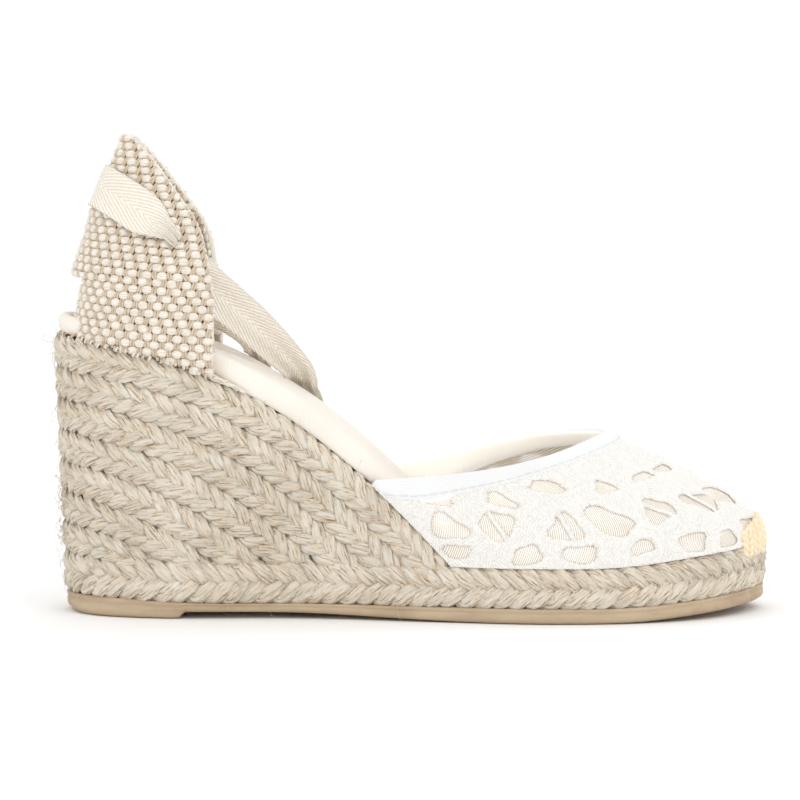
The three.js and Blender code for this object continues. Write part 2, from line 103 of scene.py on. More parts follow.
def mixed(a, b, share):
    return a + (b - a) * share


def bezier(a, b, c, d, t):
    return a * (1 - t) ** 3 + 3 * b * t * (1 - t) ** 2 + 3 * c * t * t * (1 - t) + d * t ** 3


def raised(flat, z):
    """Flat points, each at its height z."""
    return np.concatenate([flat, z[..., None]], -1)


class Spline:
    """A centripetal Catmull-Rom curve through points, the kind that the CAD outline uses."""

    def __init__(self, points, closed=False):
        self.points, self.closed = np.array(points, float), closed

    def __call__(self, t):
        t, p, n = np.asarray(t, float), self.points, len(self.points)
        if self.closed:
            place = (t % 1.0) * n
            i = np.floor(place).astype(int)
            a, b, c, d = (p[(i + k) % n] for k in (-1, 0, 1, 2))
        else:
            p = np.vstack([2 * p[0] - p[1], p, 2 * p[-1] - p[-2]])
            place = np.clip(t, 0, 1) * (n - 1)
            i = np.minimum(np.floor(place).astype(int), n - 2)
            a, b, c, d = (p[i + k] for k in range(4))
        w = (place - i)[..., None]
        d0, d1, d2 = (np.sqrt(np.linalg.norm(r - q, axis=-1, keepdims=True) + 1e-12)
                      for q, r in ((a, b), (b, c), (c, d)))
        m1 = ((b - a) / d0 - (c - a) / (d0 + d1) + (c - b) / d1) * d1
        m2 = ((c - b) / d1 - (d - b) / (d1 + d2) + (d - c) / d2) * d1
        return b + m1 * w + (3 * (c - b) - 2 * m1 - m2) * w ** 2 + (2 * (b - c) + m1 + m2) * w ** 3


def lengths(points):
    """The distance along a line of points, at each of them."""
    steps = np.linalg.norm(np.diff(points, axis=0), axis=-1)
    return np.concatenate([[0], np.cumsum(steps)])


def resampled(step, run, *lines):
    """Distances step mm apart along a line, then each line's values there."""
    fine = np.arange(0, run[-1], step)
    return fine, *(np.stack([np.interp(fine, run, line[:, k]) for k in range(3)], -1) for line in lines)


def even(path_of_t, t0, t1, spacing):
    """t values along a path that are evenly spaced in distance."""
    t = np.linspace(t0, t1, 2400)
    run = lengths(path_of_t(t))
    count = max(4, int(run[-1] / spacing))
    return np.interp(np.linspace(0, run[-1], count), run, t)


def wobble(count, spacing, rng, strength=1.0):
    """A smooth random line of count samples, with a new target every spacing samples."""
    knots = rng.uniform(-1, 1, int(count / spacing) + 4)
    place = np.arange(count) / spacing
    i = place.astype(int)
    return strength * mixed(knots[i], knots[i + 1], smooth(0, 1, place - i))


# ------------------------------------------------------------------ the sole's outline and heights
_mid_x = (WAIST_X + BALL_X) / 2
_mid_half = (WAIST_HALF + BALL_HALF) / 2
OUTLINE = Spline([
    (0, 0), (HEEL_HALF * 0.22, -HEEL_HALF * 0.63), (HEEL_HALF, -HEEL_HALF),
    (WAIST_X, -WAIST_HALF - 0.7), (_mid_x, -_mid_half - 1), (BALL_X - 4, -BALL_HALF),
    (BALL_X + 31, -BALL_HALF * 0.9), (SOLE_LENGTH - TOE_RADIUS, -BALL_HALF * 0.54),
    (SOLE_LENGTH, TOE_TIP_Y),
    (SOLE_LENGTH - TOE_RADIUS + 2, BALL_HALF * 0.6), (BALL_X + 34, BALL_HALF * 0.92),
    (BALL_X + 4, BALL_HALF), (_mid_x, _mid_half - 2), (WAIST_X, WAIST_HALF - 0.7),
    (HEEL_HALF, HEEL_HALF), (HEEL_HALF * 0.22, HEEL_HALF * 0.63),
], closed=True)
TOE_T = 8 / 16
SIDE_T = {-1: np.linspace(0, TOE_T, 3000), 1: np.linspace(0, TOE_T - 1, 3000)}
SIDE_X = {side: OUTLINE(t)[:, 0] for side, t in SIDE_T.items()}


def outward(t):
    """The flat direction away from the shoe."""
    along = unit(OUTLINE(t + 1e-4) - OUTLINE(t - 1e-4))
    return np.stack([along[..., 1], -along[..., 0], np.zeros_like(along[..., 0])], -1)


def edge(t, inset=0.0):
    """Points of the outline, inset; t = 0 at the heel back, rising along the outer side."""
    t = np.asarray(t, float)
    return OUTLINE(t) - outward(t)[..., :2] * np.asarray(inset, float)[..., None]


def edge_t(x, side):
    """Where one side of the outline reaches x: -1 is the outer side, 1 the inner."""
    return np.interp(x, SIDE_X[side], SIDE_T[side])


def sole_lift(x):
    return TOE_SPRING * smooth(TOE_SPRING_START, SOLE_LENGTH + 8, x) ** 1.4


def outsole_top(x):
    return OUTSOLE_THICK + 0.7 + sole_lift(x) + 1.6 * smooth(60, 8, x)


def welt_top(x):
    return outsole_top(x) + WELT_HEIGHT - 1.2 * smooth(70, 150, x) * smooth(215, 175, x)


def row_curve(row):
    """A wrapped braid's upper edge, from the heel back to where it lands on the welt, and its last slope."""
    share = row / (BRAID_ROWS - 1)
    pitch = (HEEL_HEIGHT - welt_top(0)) / BRAID_ROWS
    start = np.array([0, HEEL_HEIGHT - pitch * row])
    landing = mixed(LANDING_FIRST, LANDING_LAST, share) + 14 * share * (1 - share)
    finish = np.array([landing, welt_top(landing)])
    slope = 1.08 - 0.55 * share ** 1.5
    reach = 0.39 * landing
    first = np.array([0.4 * landing, start[1] - 0.06 * landing])
    second = finish + np.array([-reach, slope * reach])
    return bezier(start, first, second, finish, np.linspace(0, 1, 400)[:, None]), slope


ROW_CURVES = [row_curve(row) for row in range(BRAID_ROWS)]


def row_height(row, x):
    """Upper edge of a wrapped braid; the lowest row's lower edge is row BRAID_ROWS."""
    if row == BRAID_ROWS:
        return row_height(row - 1, x) - 9.6
    line, slope = ROW_CURVES[row]
    z = np.interp(x, line[:, 0], line[:, 1])
    return z - slope * np.maximum(x - line[-1, 0], 0)


def rim_height(x):
    return np.maximum(row_height(0, x), welt_top(x))


def seat_height(x):
    fall = row_height(0, x) - FOREFOOT_SEAT
    return FOREFOOT_SEAT + (fall + np.sqrt(fall * fall + 25)) / 2 + 2 * GAP


def lean(x, z):
    """How far the wedge's wall slopes in towards the ground at the heel."""
    return HEEL_LEAN * np.clip(1 - z / HEEL_HEIGHT, 0, 1) * smooth(130, 20, x)


# ------------------------------------------------------------------ meshes
class Shape:
    """Collects points, faces and UVs, all in mm, for one object."""

    def __init__(self):
        self.points, self.faces, self.uvs, self.slots, self.count = [], [], [], [], 0

    def add_points(self, points):
        base = self.count
        self.points.append(np.asarray(points, float).reshape(-1, 3))
        self.count += len(self.points[-1])
        return base

    def add_faces(self, faces, uv, slot=0):
        self.faces.extend(faces.tolist())
        self.uvs.append(uv.reshape(-1, 2))
        self.slots.extend([slot] * len(faces))

    def grid(self, points, u, v=None, wrap=False, cap=False, slot=0):
        """Rows of points; u and v are one number for each row and column, or one for each point."""
        n, k = points.shape[:2]
        base = self.add_points(points)
        v = np.arange(k + 1.0) if v is None else v
        if v.ndim == 1:
            u, v = np.broadcast_arrays(u[:, None], v[None])
        rows, columns = np.arange(n - 1), np.arange(k if wrap else k - 1)
        i, j = (g.ravel() for g in np.meshgrid(rows, columns, indexing="ij"))
        corners = ((i, j), (i + 1, j), (i + 1, j + 1), (i, j + 1))
        self.add_faces(np.stack([a * k + b % k for a, b in corners], -1) + base,
                       np.stack([np.stack([u[place], v[place]], -1) for place in corners], 1), slot)
        if cap:
            for row, turn in ((0, 1), (n - 1, -1)):
                ring = (np.arange(k) + row * k + base)[::turn]
                self.add_faces(ring[None], np.full((k, 2), [u[row, 0], v[0, 0]]), slot)


def make(name, shape, materials, replaces=()):
    """One object in the frame from a shape in heel-based mm."""
    mesh = bpy.data.meshes.new(name)
    mesh.from_pydata(((np.concatenate(shape.points) + ORIGIN) * MM).tolist(), [], shape.faces)
    layer = mesh.uv_layers.new(name="UVMap")
    layer.data.foreach_set("uv", np.concatenate(shape.uvs).astype(np.float32).ravel())
    mesh.polygons.foreach_set("material_index", np.array(shape.slots, dtype=np.int32))
    mesh.polygons.foreach_set("use_smooth", np.ones(len(shape.faces), dtype=bool))
    for material in materials:
        mesh.materials.append(material)
    mesh.update()
    obj = bpy.data.objects.new(name, mesh)
    bpy.context.scene.collection.objects.link(obj)
    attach(obj, ROOT)
    if replaces:
        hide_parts(*replaces)
    return obj


def tube(shape, path, normal, half_width, half_depth, sides=8, lobes=0, lobe_depth=0.0, twist=0.0, slot=0,
         u_shift=0.0):
    """A closed strand along path; normal points away from the surface it lies on."""
    along = unit(np.gradient(path, axis=0))
    side = unit(np.cross(along, normal))
    rise = np.cross(side, along)
    run = lengths(path)
    angle = np.linspace(0, TURN, sides, endpoint=False)
    radius = 1 + lobe_depth * np.cos(lobes * (angle[None, :] + twist * run[:, None]))
    hw, hd = (np.broadcast_to(np.asarray(half, float), run.shape)[:, None]
              for half in (half_width, half_depth))
    x = (hw * radius * np.cos(angle))[..., None]
    y = (hd * radius * np.sin(angle))[..., None]
    rings = path[:, None, :] + side[:, None, :] * x + rise[:, None, :] * y
    girth = math.pi * float(np.mean(hw + hd))
    shape.grid(rings, run + u_shift, np.linspace(0, girth, sides + 1), wrap=True, cap=True, slot=slot)


# ------------------------------------------------------------------ materials
def linear(r, g, b):
    """A colour given as 0-255 screen values, as Blender's linear numbers."""
    return *(c / 12.92 if c <= 0.04045 else ((c + 0.055) / 1.055) ** 2.4
             for c in (r / 255, g / 255, b / 255)), 1.0


class Look:
    """A procedural material, built from small node helpers."""

    def __init__(self, name, roughness=0.8, sheen=0.0):
        self.material = bpy.data.materials.new(name)
        self.material.use_nodes = True
        self.tree = self.material.node_tree
        self.shader = self.tree.nodes["Principled BSDF"]
        self.set({"Roughness": roughness, "Sheen Weight": sheen, "Specular IOR Level": 0.25})
        self.coords = self.node("ShaderNodeTexCoord")

    def set(self, values):
        for socket, value in values.items():
            self.shader.inputs[socket].default_value = value

    def link(self, source, target):
        self.tree.links.new(source, target)

    def node(self, kind, inputs=None, **settings):
        """A node with its settings; each input is a number, a tuple or another node's output."""
        node = self.tree.nodes.new(kind)
        for key, value in settings.items():
            setattr(node, key, value)
        for socket, value in (inputs or {}).items():
            if isinstance(value, (int, float, tuple)):
                node.inputs[socket].default_value = value
            elif value is not None:
                self.link(value, node.inputs[socket])
        return node

    def scaled(self, scale, turn=0.0, space="UV"):
        """The coordinates times scale, which is one number or three."""
        scale = scale if isinstance(scale, tuple) else (scale, scale, scale)
        inputs = {"Scale": scale, "Rotation": (0, 0, turn), "Vector": self.coords.outputs[space]}
        return self.node("ShaderNodeMapping", inputs).outputs["Vector"]

    def split(self, vector):
        return self.node("ShaderNodeSeparateXYZ", {0: vector}).outputs

    def noise(self, scale, detail, rough=0.6, space="UV"):
        inputs = {"Scale": 1.0, "Detail": detail, "Roughness": rough,
                  "Vector": self.scaled(scale, space=space)}
        return self.node("ShaderNodeTexNoise", inputs).outputs["Fac"]

    def maths(self, operation, a, b=None, clamp=False):
        return self.node("ShaderNodeMath", {0: a, 1: b}, operation=operation, use_clamp=clamp).outputs[0]

    def plus(self, a, b, weight=1.0):
        """a + weight * b"""
        return self.maths("ADD", a, self.maths("MULTIPLY", b, weight))

    def sine(self, value, pitch):
        return self.maths("SINE", self.maths("MULTIPLY", value, TURN / pitch))

    def ramp(self, fac, *stops):
        node = self.node("ShaderNodeValToRGB", {"Fac": fac})
        elements = node.color_ramp.elements
        while len(elements) < len(stops):
            elements.new(0.5)
        for element, (place, colour) in zip(elements, stops):
            element.position, element.color = place, colour
        return node.outputs["Color"]

    def paint(self, colour, clouds=None, dark=None, low=0.3, high=0.7):
        """Sets the base colour, multiplied by dark where the clouds are low."""
        if clouds is not None:
            tint = self.ramp(clouds, (low, (*dark, 1)), (high, (1, 1, 1, 1)))
            colour = self.node("ShaderNodeMix", {0: 1.0, 6: colour, 7: tint}, data_type="RGBA",
                               blend_type="MULTIPLY").outputs[2]
        self.link(colour, self.shader.inputs["Base Color"])

    def thin(self, weight, depth):
        """Thin cloth lets light through."""
        self.set({"Subsurface Weight": weight, "Subsurface Radius": (1.0, 0.95, 0.9),
                  "Subsurface Scale": depth * MM})

    def bumped(self, height, distance):
        """The finished material, with a bump of distance mm."""
        node = self.node("ShaderNodeBump", {"Strength": 1.0, "Distance": distance * MM, "Height": height})
        self.link(node.outputs["Normal"], self.shader.inputs["Normal"])
        return self.material


def jute_look():
    """Dry fibres that run along the strand; u is along it and v round it, both in mm."""
    look = Look("jute_braid", 0.9, sheen=0.15)
    fibres = look.noise((0.13, 1.9, 1.0), 6.0, 0.72)
    coarse = look.noise((0.06, 0.7, 1.0), 2.0)
    body = look.ramp(fibres, (0.37, linear(160, 136, 107)), (0.46, linear(254, 236, 211)),
                     (0.58, linear(255, 251, 239)))
    look.paint(body, look.noise(60, 2.0, space="Object"), (0.90, 0.88, 0.85), 0.35, 0.65)
    return look.bumped(look.plus(fibres, coarse, 0.6), 1.2)


def weave_look(name, base, shade, pitch, distance, glow=0.0):
    """Plain woven cloth, its threads pitch mm apart; the glow is painted light, an emission that stands for
    light from behind.
    """
    look = Look(name, 0.85, sheen=0.2)
    inputs = {"Scale": 1.0, "Distortion": 0.6, "Detail": 1.0, "Vector": look.scaled(0.314 / pitch)}
    across, along = (look.node("ShaderNodeTexWave", inputs, wave_type="BANDS",
                               bands_direction=axis).outputs["Fac"] for axis in "XY")
    cloth = look.maths("MULTIPLY", across, along)
    body = look.ramp(cloth, (0.0, shade), (0.5, base))
    look.paint(body, look.noise(35, 3.0, space="Object"), (0.94, 0.93, 0.91))
    if glow:
        look.thin(0.8, 4)
        # Painted light: the cloth glows in its own base colour, as if lit through from behind.
        look.set({"Emission Color": base, "Emission Strength": glow})
    return look.bumped(cloth, distance)


def yarn_look(name, base, shade, light):
    """Plied cotton: fine threads along the yarn."""
    look = Look(name, 0.85, sheen=0.3)
    threads = look.noise((0.5, 3.6, 1.0), 3.0, 0.55)
    body = look.ramp(threads, (0.30, shade), (0.5, base), (0.7, light))
    look.paint(body, look.noise(0.25, 1.0), (0.93, 0.91, 0.88), 0.3, 0.65)
    return look.bumped(threads, 0.22)


def plain_look(name, base, shade, roughness, scale, distance):
    """Foam, board or paper: a faint grain in the object's own space."""
    look = Look(name, roughness)
    grain = look.noise(scale, 5.0, space="Object")
    look.paint(look.ramp(grain, (0.3, shade), (0.7, base)))
    return look.bumped(grain, distance)


def rubber_look():
    """Matt tan rubber, scuffed in streaks along the sole."""
    look = Look("tan_rubber", 0.62)
    grain = look.noise(900, 3.0, space="Object")
    scuffs = look.noise((40, 40, 160), 4.0, space="Object")
    look.paint(look.ramp(scuffs, (0.3, linear(168, 146, 120)), (0.55, linear(190, 169, 142)),
                         (0.75, linear(200, 182, 157))))
    return look.bumped(look.plus(grain, scuffs), 0.12)


def tape_look():
    """Herringbone twill with one point along the middle: u runs along the tape and v across it, in mm."""
    look = Look("herringbone_tape", 0.85, sheen=0.2)
    place = look.split(look.coords.outputs["UV"])
    off_middle = look.maths("ABSOLUTE", look.maths("SUBTRACT", place["Y"], TAPE_WIDTH / 2))
    slant = look.plus(look.maths("MULTIPLY", place["X"], 0.38), off_middle, 0.92)
    ridge = look.sine(look.plus(slant, look.noise(0.5, 2.0), 0.5), 1.1)
    threads = look.noise(2.6, 3.0)
    look.paint(look.ramp(look.plus(threads, ridge, 0.42), (0.05, linear(236, 220, 197)),
                         (0.42, linear(253, 244, 229)), (0.8, linear(255, 251, 242))))
    return look.bumped(look.plus(threads, ridge, 0.45), 0.3)


def lace_look():
    """Satin-stitch threads; the UVs turn with each petal."""
    look = Look("corded_lace", 0.8, sheen=0.2)
    place = look.split(look.coords.outputs["UV"])
    bent = look.plus(place["X"], look.maths("ABSOLUTE", place["Y"]), 0.6)
    stitch = look.sine(look.plus(bent, look.noise(0.5, 1.0), 1.4), 1.05)
    fine = look.noise(2200, 2.0, space="Object")
    look.paint(look.ramp(look.plus(fine, stitch, 0.22), (0.2, linear(244, 237, 226)),
                         (0.5, linear(254, 250, 243)), (0.8, linear(255, 253, 248))))
    look.thin(0.35, 2)
    return look.bumped(look.plus(fine, stitch, 0.42), 0.24)


def net_look():
    """Fine net: a skewed grid of thread with clear holes between."""
    look = Look("fine_net", 0.8)
    pitch = 0.62
    place = look.split(look.scaled(1, turn=0.35))
    lines = [look.maths("GREATER_THAN", look.maths("ABSOLUTE", look.sine(place[axis], 2 * pitch)), width)
             for axis, width in (("X", 0.72), ("Y", 0.86))]
    thread = look.maths("MAXIMUM", *lines)
    alpha = look.maths("ADD", look.maths("MULTIPLY", thread, 0.60), 0.38, clamp=True)
    look.link(alpha, look.shader.inputs["Alpha"])
    look.paint(look.ramp(look.noise(0.08, 2.0), (0.35, linear(245, 235, 223)), (0.65, linear(252, 246, 238))))
    return look.material


JUTE = jute_look()
CREAM_YARN = yarn_look("cream_yarn", linear(238, 230, 218), linear(211, 201, 186), linear(250, 245, 237))
TAN_YARN = yarn_look("tan_yarn", linear(214, 197, 173), linear(184, 164, 138), linear(232, 217, 196))
TOE_YARN = yarn_look("toe_yarn", linear(255, 238, 206), linear(250, 220, 172), linear(255, 247, 226))
THREAD = yarn_look("white_thread", linear(236, 238, 242), linear(214, 218, 226), linear(250, 250, 252))
CANVAS = weave_look("cream_canvas", linear(251, 247, 240), linear(238, 230, 218), 0.5, 0.05)
LINING = weave_look("tan_lining", linear(226, 208, 184), linear(205, 182, 152), 0.6, 0.07)
BINDING = weave_look("white_binding", linear(243, 243, 241), linear(230, 232, 235), 0.45, 0.03)
# The binding's inside face: a lighter copy of the tape that also glows, painted light for light shining
# through the thin cloth.
LIT_BINDING_INSIDE = weave_look("cream_binding_painted_glow", linear(255, 252, 246), linear(250, 243, 233), 0.6, 0.04,
                            glow=0.22)
LACE, NET, TAPE, RUBBER = lace_look(), net_look(), tape_look(), rubber_look()
FOAM = plain_look("core_foam", linear(222, 210, 186), linear(205, 190, 162), 0.9, 120, 0.2)
BOARD = plain_look("fibre_board", linear(196, 172, 134), linear(170, 144, 106), 0.85, 300, 0.1)
PADDING = plain_look("insole_foam", linear(240, 238, 232), linear(226, 222, 214), 0.95, 500, 0.1)


def dress(node, material):
    """Gives a CAD node that stays its procedural material."""
    obj = frame["nodes"][node]
    if not obj.material_slots:
        obj.data.materials.append(material)
    for place in obj.material_slots:
        place.material = material


for node, material in (("platform_core", FOAM), ("wedge_core", FOAM), ("insole_board", BOARD),
                       ("foam_insole", PADDING)):
    dress(node, material)


# ------------------------------------------------------------------ jute braids
STRANDS = 5
WRAP_INSET, WELT_INSET = 3.1, 3.5
BRAID_STEP = 0.95


def zigzag(phase):
    """A sine drawn towards a triangle: strands cross the braid nearly straight and turn at its edges."""
    return (np.sin(phase) - np.sin(3 * phase) / 9 + np.sin(5 * phase) / 25) * 0.87


def braid(shape, path, normal, width, period, half_width, half_depth, swing, rng, hairs):
    """Five strands plaited flat along path. Each lies on top as it goes from the middle to an edge."""
    run = lengths(path)
    along = unit(np.gradient(path, axis=0))
    across = unit(np.cross(normal, along))
    for strand in range(STRANDS):
        phase = TURN * (run / period + strand / STRANDS) + wobble(len(run), 14, rng, 0.16)
        throw = np.maximum(width / 2 - half_width * 0.80, 0.3) + wobble(len(run), 9, rng, 0.2)
        rise = swing * np.sin(2 * phase) + wobble(len(run), 7, rng, 0.12)
        line = path + across * (throw * zigzag(phase))[:, None] + normal * rise[:, None]
        squeeze = 1 + wobble(len(run), 6, rng, 0.08)
        tube(shape, line, normal, half_width * squeeze, half_depth * (1 + wobble(len(run), 8, rng, 0.08)),
             sides=24, lobes=7, lobe_depth=0.15, twist=0.10, u_shift=rng.uniform(0, 500))
        for _ in range(hairs // STRANDS):
            hair(shape, line, normal, along, across, half_depth, rng)


def hair(shape, line, normal, along, across, depth, rng):
    """A loose fibre that springs off a strand and falls back."""
    start = rng.integers(3, len(line) - 3)
    reach = rng.uniform(2.5, 8.0)
    turn = rng.uniform(0, TURN)
    heading = unit(along[start] * math.cos(turn) + across[start] * math.sin(turn))
    lift = rng.uniform(0.15, 0.55) * reach
    t = np.linspace(0, 1, 6)[:, None]
    bend = unit(np.cross(heading, normal[start])) * rng.uniform(-0.35, 0.35) * reach
    points = (line[start] + normal[start] * depth * 0.8 + heading * reach * t
              + normal[start] * lift * np.sin(t * math.pi * 0.8) + bend * t * t)
    tube(shape, points, np.repeat(normal[start][None], 6, 0), 0.055, 0.055, sides=3,
         u_shift=rng.uniform(0, 99))


def wedge_row(row):
    """One braid wrapped round the wedge; its ends run down behind the welt braid."""
    rng = np.random.default_rng(100 + row)

    def centre(x):
        return (row_height(row + 1, x) + row_height(row, x)) / 2

    def middle(t):
        x = edge(t)[..., 0]
        tuck = 4.2 * smooth(1.0, -5.0, centre(x) - welt_top(x))
        x = edge(t, WRAP_INSET)[..., 0]
        return raised(edge(t, WRAP_INSET + tuck + lean(x, centre(x))), centre(x))

    def end(side):
        x = np.linspace(20, 170, 600)
        return edge_t(float(np.interp(5.0, welt_top(x) - centre(x), x)), side)

    t = even(middle, end(-1), end(1), BRAID_STEP)
    path = middle(t)
    x = path[:, 0]
    slope = np.gradient(path[:, 2], lengths(path))
    width = (row_height(row, x) - row_height(row + 1, x)) * np.sqrt(np.maximum(1 - slope ** 2, 0.2))
    shape = Shape()
    braid(shape, path, outward(t), width + 0.7, 25.5, 2.1, 1.25, 1.05, rng, hairs=180)
    make(f"jute_row_{row + 1}", shape, [JUTE], [f"wedge_braid_{row + 1}"])


def welt():
    """The braid that runs all the way round above the rubber, from a join on the inner side."""
    rng = np.random.default_rng(11)

    def middle(t):
        x = edge(t, WELT_INSET)[..., 0]
        z = (outsole_top(x) + welt_top(x)) / 2
        return raised(edge(t, WELT_INSET + lean(x, z)), z)

    join = -0.2
    t = even(middle, join, join - 1.0, BRAID_STEP)
    path = middle(t)
    total = lengths(path)[-1]
    period = total / round(total / 28.0)
    x = path[:, 0]
    width = welt_top(x) - outsole_top(x)
    shape = Shape()
    braid(shape, path, outward(t), width + 0.9, period, 2.4, 1.6, 1.35, rng, hairs=320)
    make("jute_welt", shape, [JUTE], ["welt_braid"])


for row_number in range(BRAID_ROWS):
    wedge_row(row_number)
welt()


def both_sides(column, share, profile):
    """Both halves of the outline: columns of points along a profile, up one side and down the other."""
    return ([column(share * TOE_T, *step) for step in profile],
            [column(share * (TOE_T - 1), *step) for step in profile[::-1]])


# ------------------------------------------------------------------ outsole
def outsole():
    """Rubber tread: a rounded side wall, a heel pad that ends in a step, and zigzag grooves."""
    inset, groove_pitch, groove_depth = 1.4, 6.0, 0.9

    def ground(x):
        step = 1 - smooth(HEEL_PAD_END, HEEL_PAD_END + 2.5, x)
        rise = np.where(x > HEEL_PAD_END, ARCH_RELIEF * smooth(150, HEEL_PAD_END + 20, x), 0) * (1 - step)
        return sole_lift(x) + 0.9 * smooth(14, 3, x) + rise

    profile = [(0.0, 1.4), (0.12, 0.4), (0.25, 0.05), (0.45, 0.0), (0.6, 0.12), (0.68, 0.34), (0.72, 0.34),
               (0.8, 0.06), (0.92, 0.0), (1.0, 0.3)]

    def column(t, level, extra):
        x = edge(t)[..., 0]
        z = mixed(ground(x), outsole_top(x) - GAP, level)
        return raised(edge(t, inset + extra + lean(x, z)), z)

    near, far = both_sides(column, np.linspace(0.0005, 0.9995, 420), profile[::-1])
    bottom = []
    for s in np.linspace(0, 1, 90)[1:-1]:
        point = mixed(near[-1], far[0], s)
        x, y = point[:, 0], point[:, 1]
        reach = BALL_HALF * 4 * s * (1 - s)
        wave = (x + 3.2 * np.abs(((y / 9.0) % 1) * 2 - 1)) / groove_pitch % 1
        groove = smooth(0.60, 0.68, wave) * smooth(0.92, 0.84, wave)
        heel, ball = smooth(8, 11, x) * smooth(41, 38, x), smooth(120, 124, x) * smooth(229, 224, x)
        z = ground(x) + groove_depth * groove * np.clip(smooth(6, 9, reach) * (heel + ball), 0, 1)
        bottom.append(raised(point[:, :2], z))
    top = [mixed(far[-1], near[0], s) for s in (0.2, 0.5, 0.8)]
    rings = np.stack(near + bottom + far + top, 1)[:, ::-1]
    shape = Shape()
    shape.grid(rings, rings[:, 0, 0], wrap=True, cap=True)
    make("outsole", shape, [RUBBER], ["rubber_outsole"])


outsole()


# ------------------------------------------------------------------ footbed
def footbed_inset(x):
    """How far the cover's edge stands in from the outline: in the counter, at the waist and in the vamp."""
    inside_counter = mixed(10.2, 5.6, smooth(14, 36, x))
    waist = mixed(inside_counter, 2.4, smooth(52, 62, x))
    return mixed(waist, 9.5, smooth(97, 114, x))


FOOTBED_RISE, FOOTBED_DISH = 8.4, 0.7


def footbed():
    """Canvas drawn over the padding: a soft rounded edge and a slightly dished top."""
    profile = [(0.0, 0.9), (0.08, 0.25), (0.25, 0.0), (0.45, 0.0), (0.63, 0.35), (0.78, 1.0), (0.90, 2.1),
               (0.97, 3.6), (1.0, 5.6)]

    def column(t, level, extra):
        x = edge(t)[..., 0]
        base = seat_height(edge(t, footbed_inset(x))[..., 0])
        ripple = 0.22 * np.sin(level * math.pi) * np.sin(x / 3.1 + 2.2 * np.sin(x / 11.0))
        return raised(edge(t, footbed_inset(x) + extra - ripple), base - 0.2 + FOOTBED_RISE * level)

    near, far = both_sides(column, np.linspace(0.001, 0.999, 300), profile)
    top = []
    for s in np.linspace(0, 1, 26)[1:-1]:
        point = mixed(near[-1], far[0], s)
        point[:, 2] -= FOOTBED_DISH * 4 * s * (1 - s)
        top.append(point)
    rings = np.stack(near + top + far, 1)
    span = np.concatenate([np.zeros((len(rings), 1)),
                           np.cumsum(np.linalg.norm(np.diff(rings, axis=1), axis=-1), 1)], 1)
    run = np.repeat(lengths(rings[:, rings.shape[1] // 2])[:, None], rings.shape[1], 1)
    shape = Shape()
    shape.grid(rings, run, v=span)
    shape.grid(rings[:, [0, -1]][:, ::-1], run[:, :2], v=span[:, :2])
    make("footbed_canvas", shape, [CANVAS], ["footbed_cover"])


footbed()


def heel_lip():
    """The padded canvas edge that shows behind the counter."""
    reach = 15.0
    t = np.linspace(edge_t(reach, -1), edge_t(reach, 1), 60)
    x = edge(t)[:, 0]
    swell = np.clip(1 - (x / reach) ** 2, 0, 1) ** 0.5
    angle = np.linspace(0, TURN, 22, endpoint=False)
    rings = []
    for k in range(len(t)):
        inset = 4.8 + 3.0 * smooth(3, 11, x[k]) + (0.4 + 1.9 * swell[k]) * np.cos(angle)
        z = rim_height(x[k]) + 0.2 + (0.5 + 2.6 * swell[k]) * (1 + np.sin(angle))
        flat = edge(np.full_like(angle, t[k]), inset)
        rings.append(raised(flat, z))
    rings = np.stack(rings)
    shape = Shape()
    shape.grid(rings, lengths(rings[:, 0]), v=np.linspace(0, 17, 23), wrap=True, cap=True)
    make("heel_lip", shape, [CANVAS], ["heel_seat_rim"])


heel_lip()


# ------------------------------------------------------------------ heel counter
_rise, _depth = COUNTER_TOP - COUNTER_FRONT_Z, COUNTER_FRONT_X - COUNTER_TOP_X
_half = [(0, 27, 0), (4, 22.5, 0.43), (12, 17, 0.66), (21, 10.5, 0.87), (27.5, 4.5, 0.985)]
_near = [(COUNTER_FRONT_X - b * _depth / 30, -y, COUNTER_FRONT_Z + r * _rise) for b, y, r in _half]
_far = [(x, -y, z) for x, y, z in reversed(_near)]
COUNTER_EDGE = Spline(_near + [(COUNTER_TOP_X, 0, COUNTER_TOP)] + _far)
COUNTER_T = (edge_t(COUNTER_FRONT_X, -1), edge_t(COUNTER_FRONT_X, 1))


def at_back(u):
    """One at the middle of the heel, falling to nothing at the sides."""
    return np.exp(-((u - 0.5) / 0.17) ** 2)


def counter_frame(u):
    """The three control points of the counter's upright line at u."""
    u = np.asarray(u, float)
    t = mixed(COUNTER_T[0], COUNTER_T[1], u)
    x = edge(t)[..., 0]
    foot = raised(edge(t, mixed(5.4, 1.7, smooth(3, 22, x))), rim_height(x) + GAP)
    head = mixed(foot, COUNTER_EDGE(u), 0.982)
    size = np.linalg.norm(head - foot, axis=-1, keepdims=True)
    bulge = (0.17 - 0.085 * at_back(u))[..., None]
    return foot, mixed(foot, head, 0.45) + outward(t) * bulge * size, head


def counter_point(u, v):
    """u from the outer front edge round the heel to the inner one, v from the foot to the top edge."""
    u, v = np.broadcast_arrays(np.asarray(u, float), np.asarray(v, float))
    foot, middle, head = counter_frame(u)
    w = v[..., None]
    point = foot * (1 - w) ** 2 + 2 * middle * w * (1 - w) + head * w * w
    back = at_back(u)
    z = point[..., 2]
    dent = 4.2 * back * smooth(92, 99, z) * smooth(111.5, 108.5, z)
    fold = 1.2 * back * smooth(109, 111.5, z) * smooth(126, 113, z)
    slump = 0.5 * np.sin(z / 6.0 + 9 * u) * smooth(0, 0.2, v) * smooth(1.0, 0.8, v)
    t = mixed(COUNTER_T[0], COUNTER_T[1], u)
    return point + outward(t) * (fold - dent + slump)[..., None]


def counter_normal(u, v):
    h = 2e-3
    du = counter_point(u + h, v) - counter_point(u - h, v)
    dv = counter_point(u, v + h) - counter_point(u, v - h)
    return unit(np.cross(dv, du))


def height_v(share):
    """The v at which the counter's upright line has risen by share of its height."""
    return (-0.9 + np.sqrt(np.maximum(0.81 + 0.4 * share, 0.01))) / 0.2


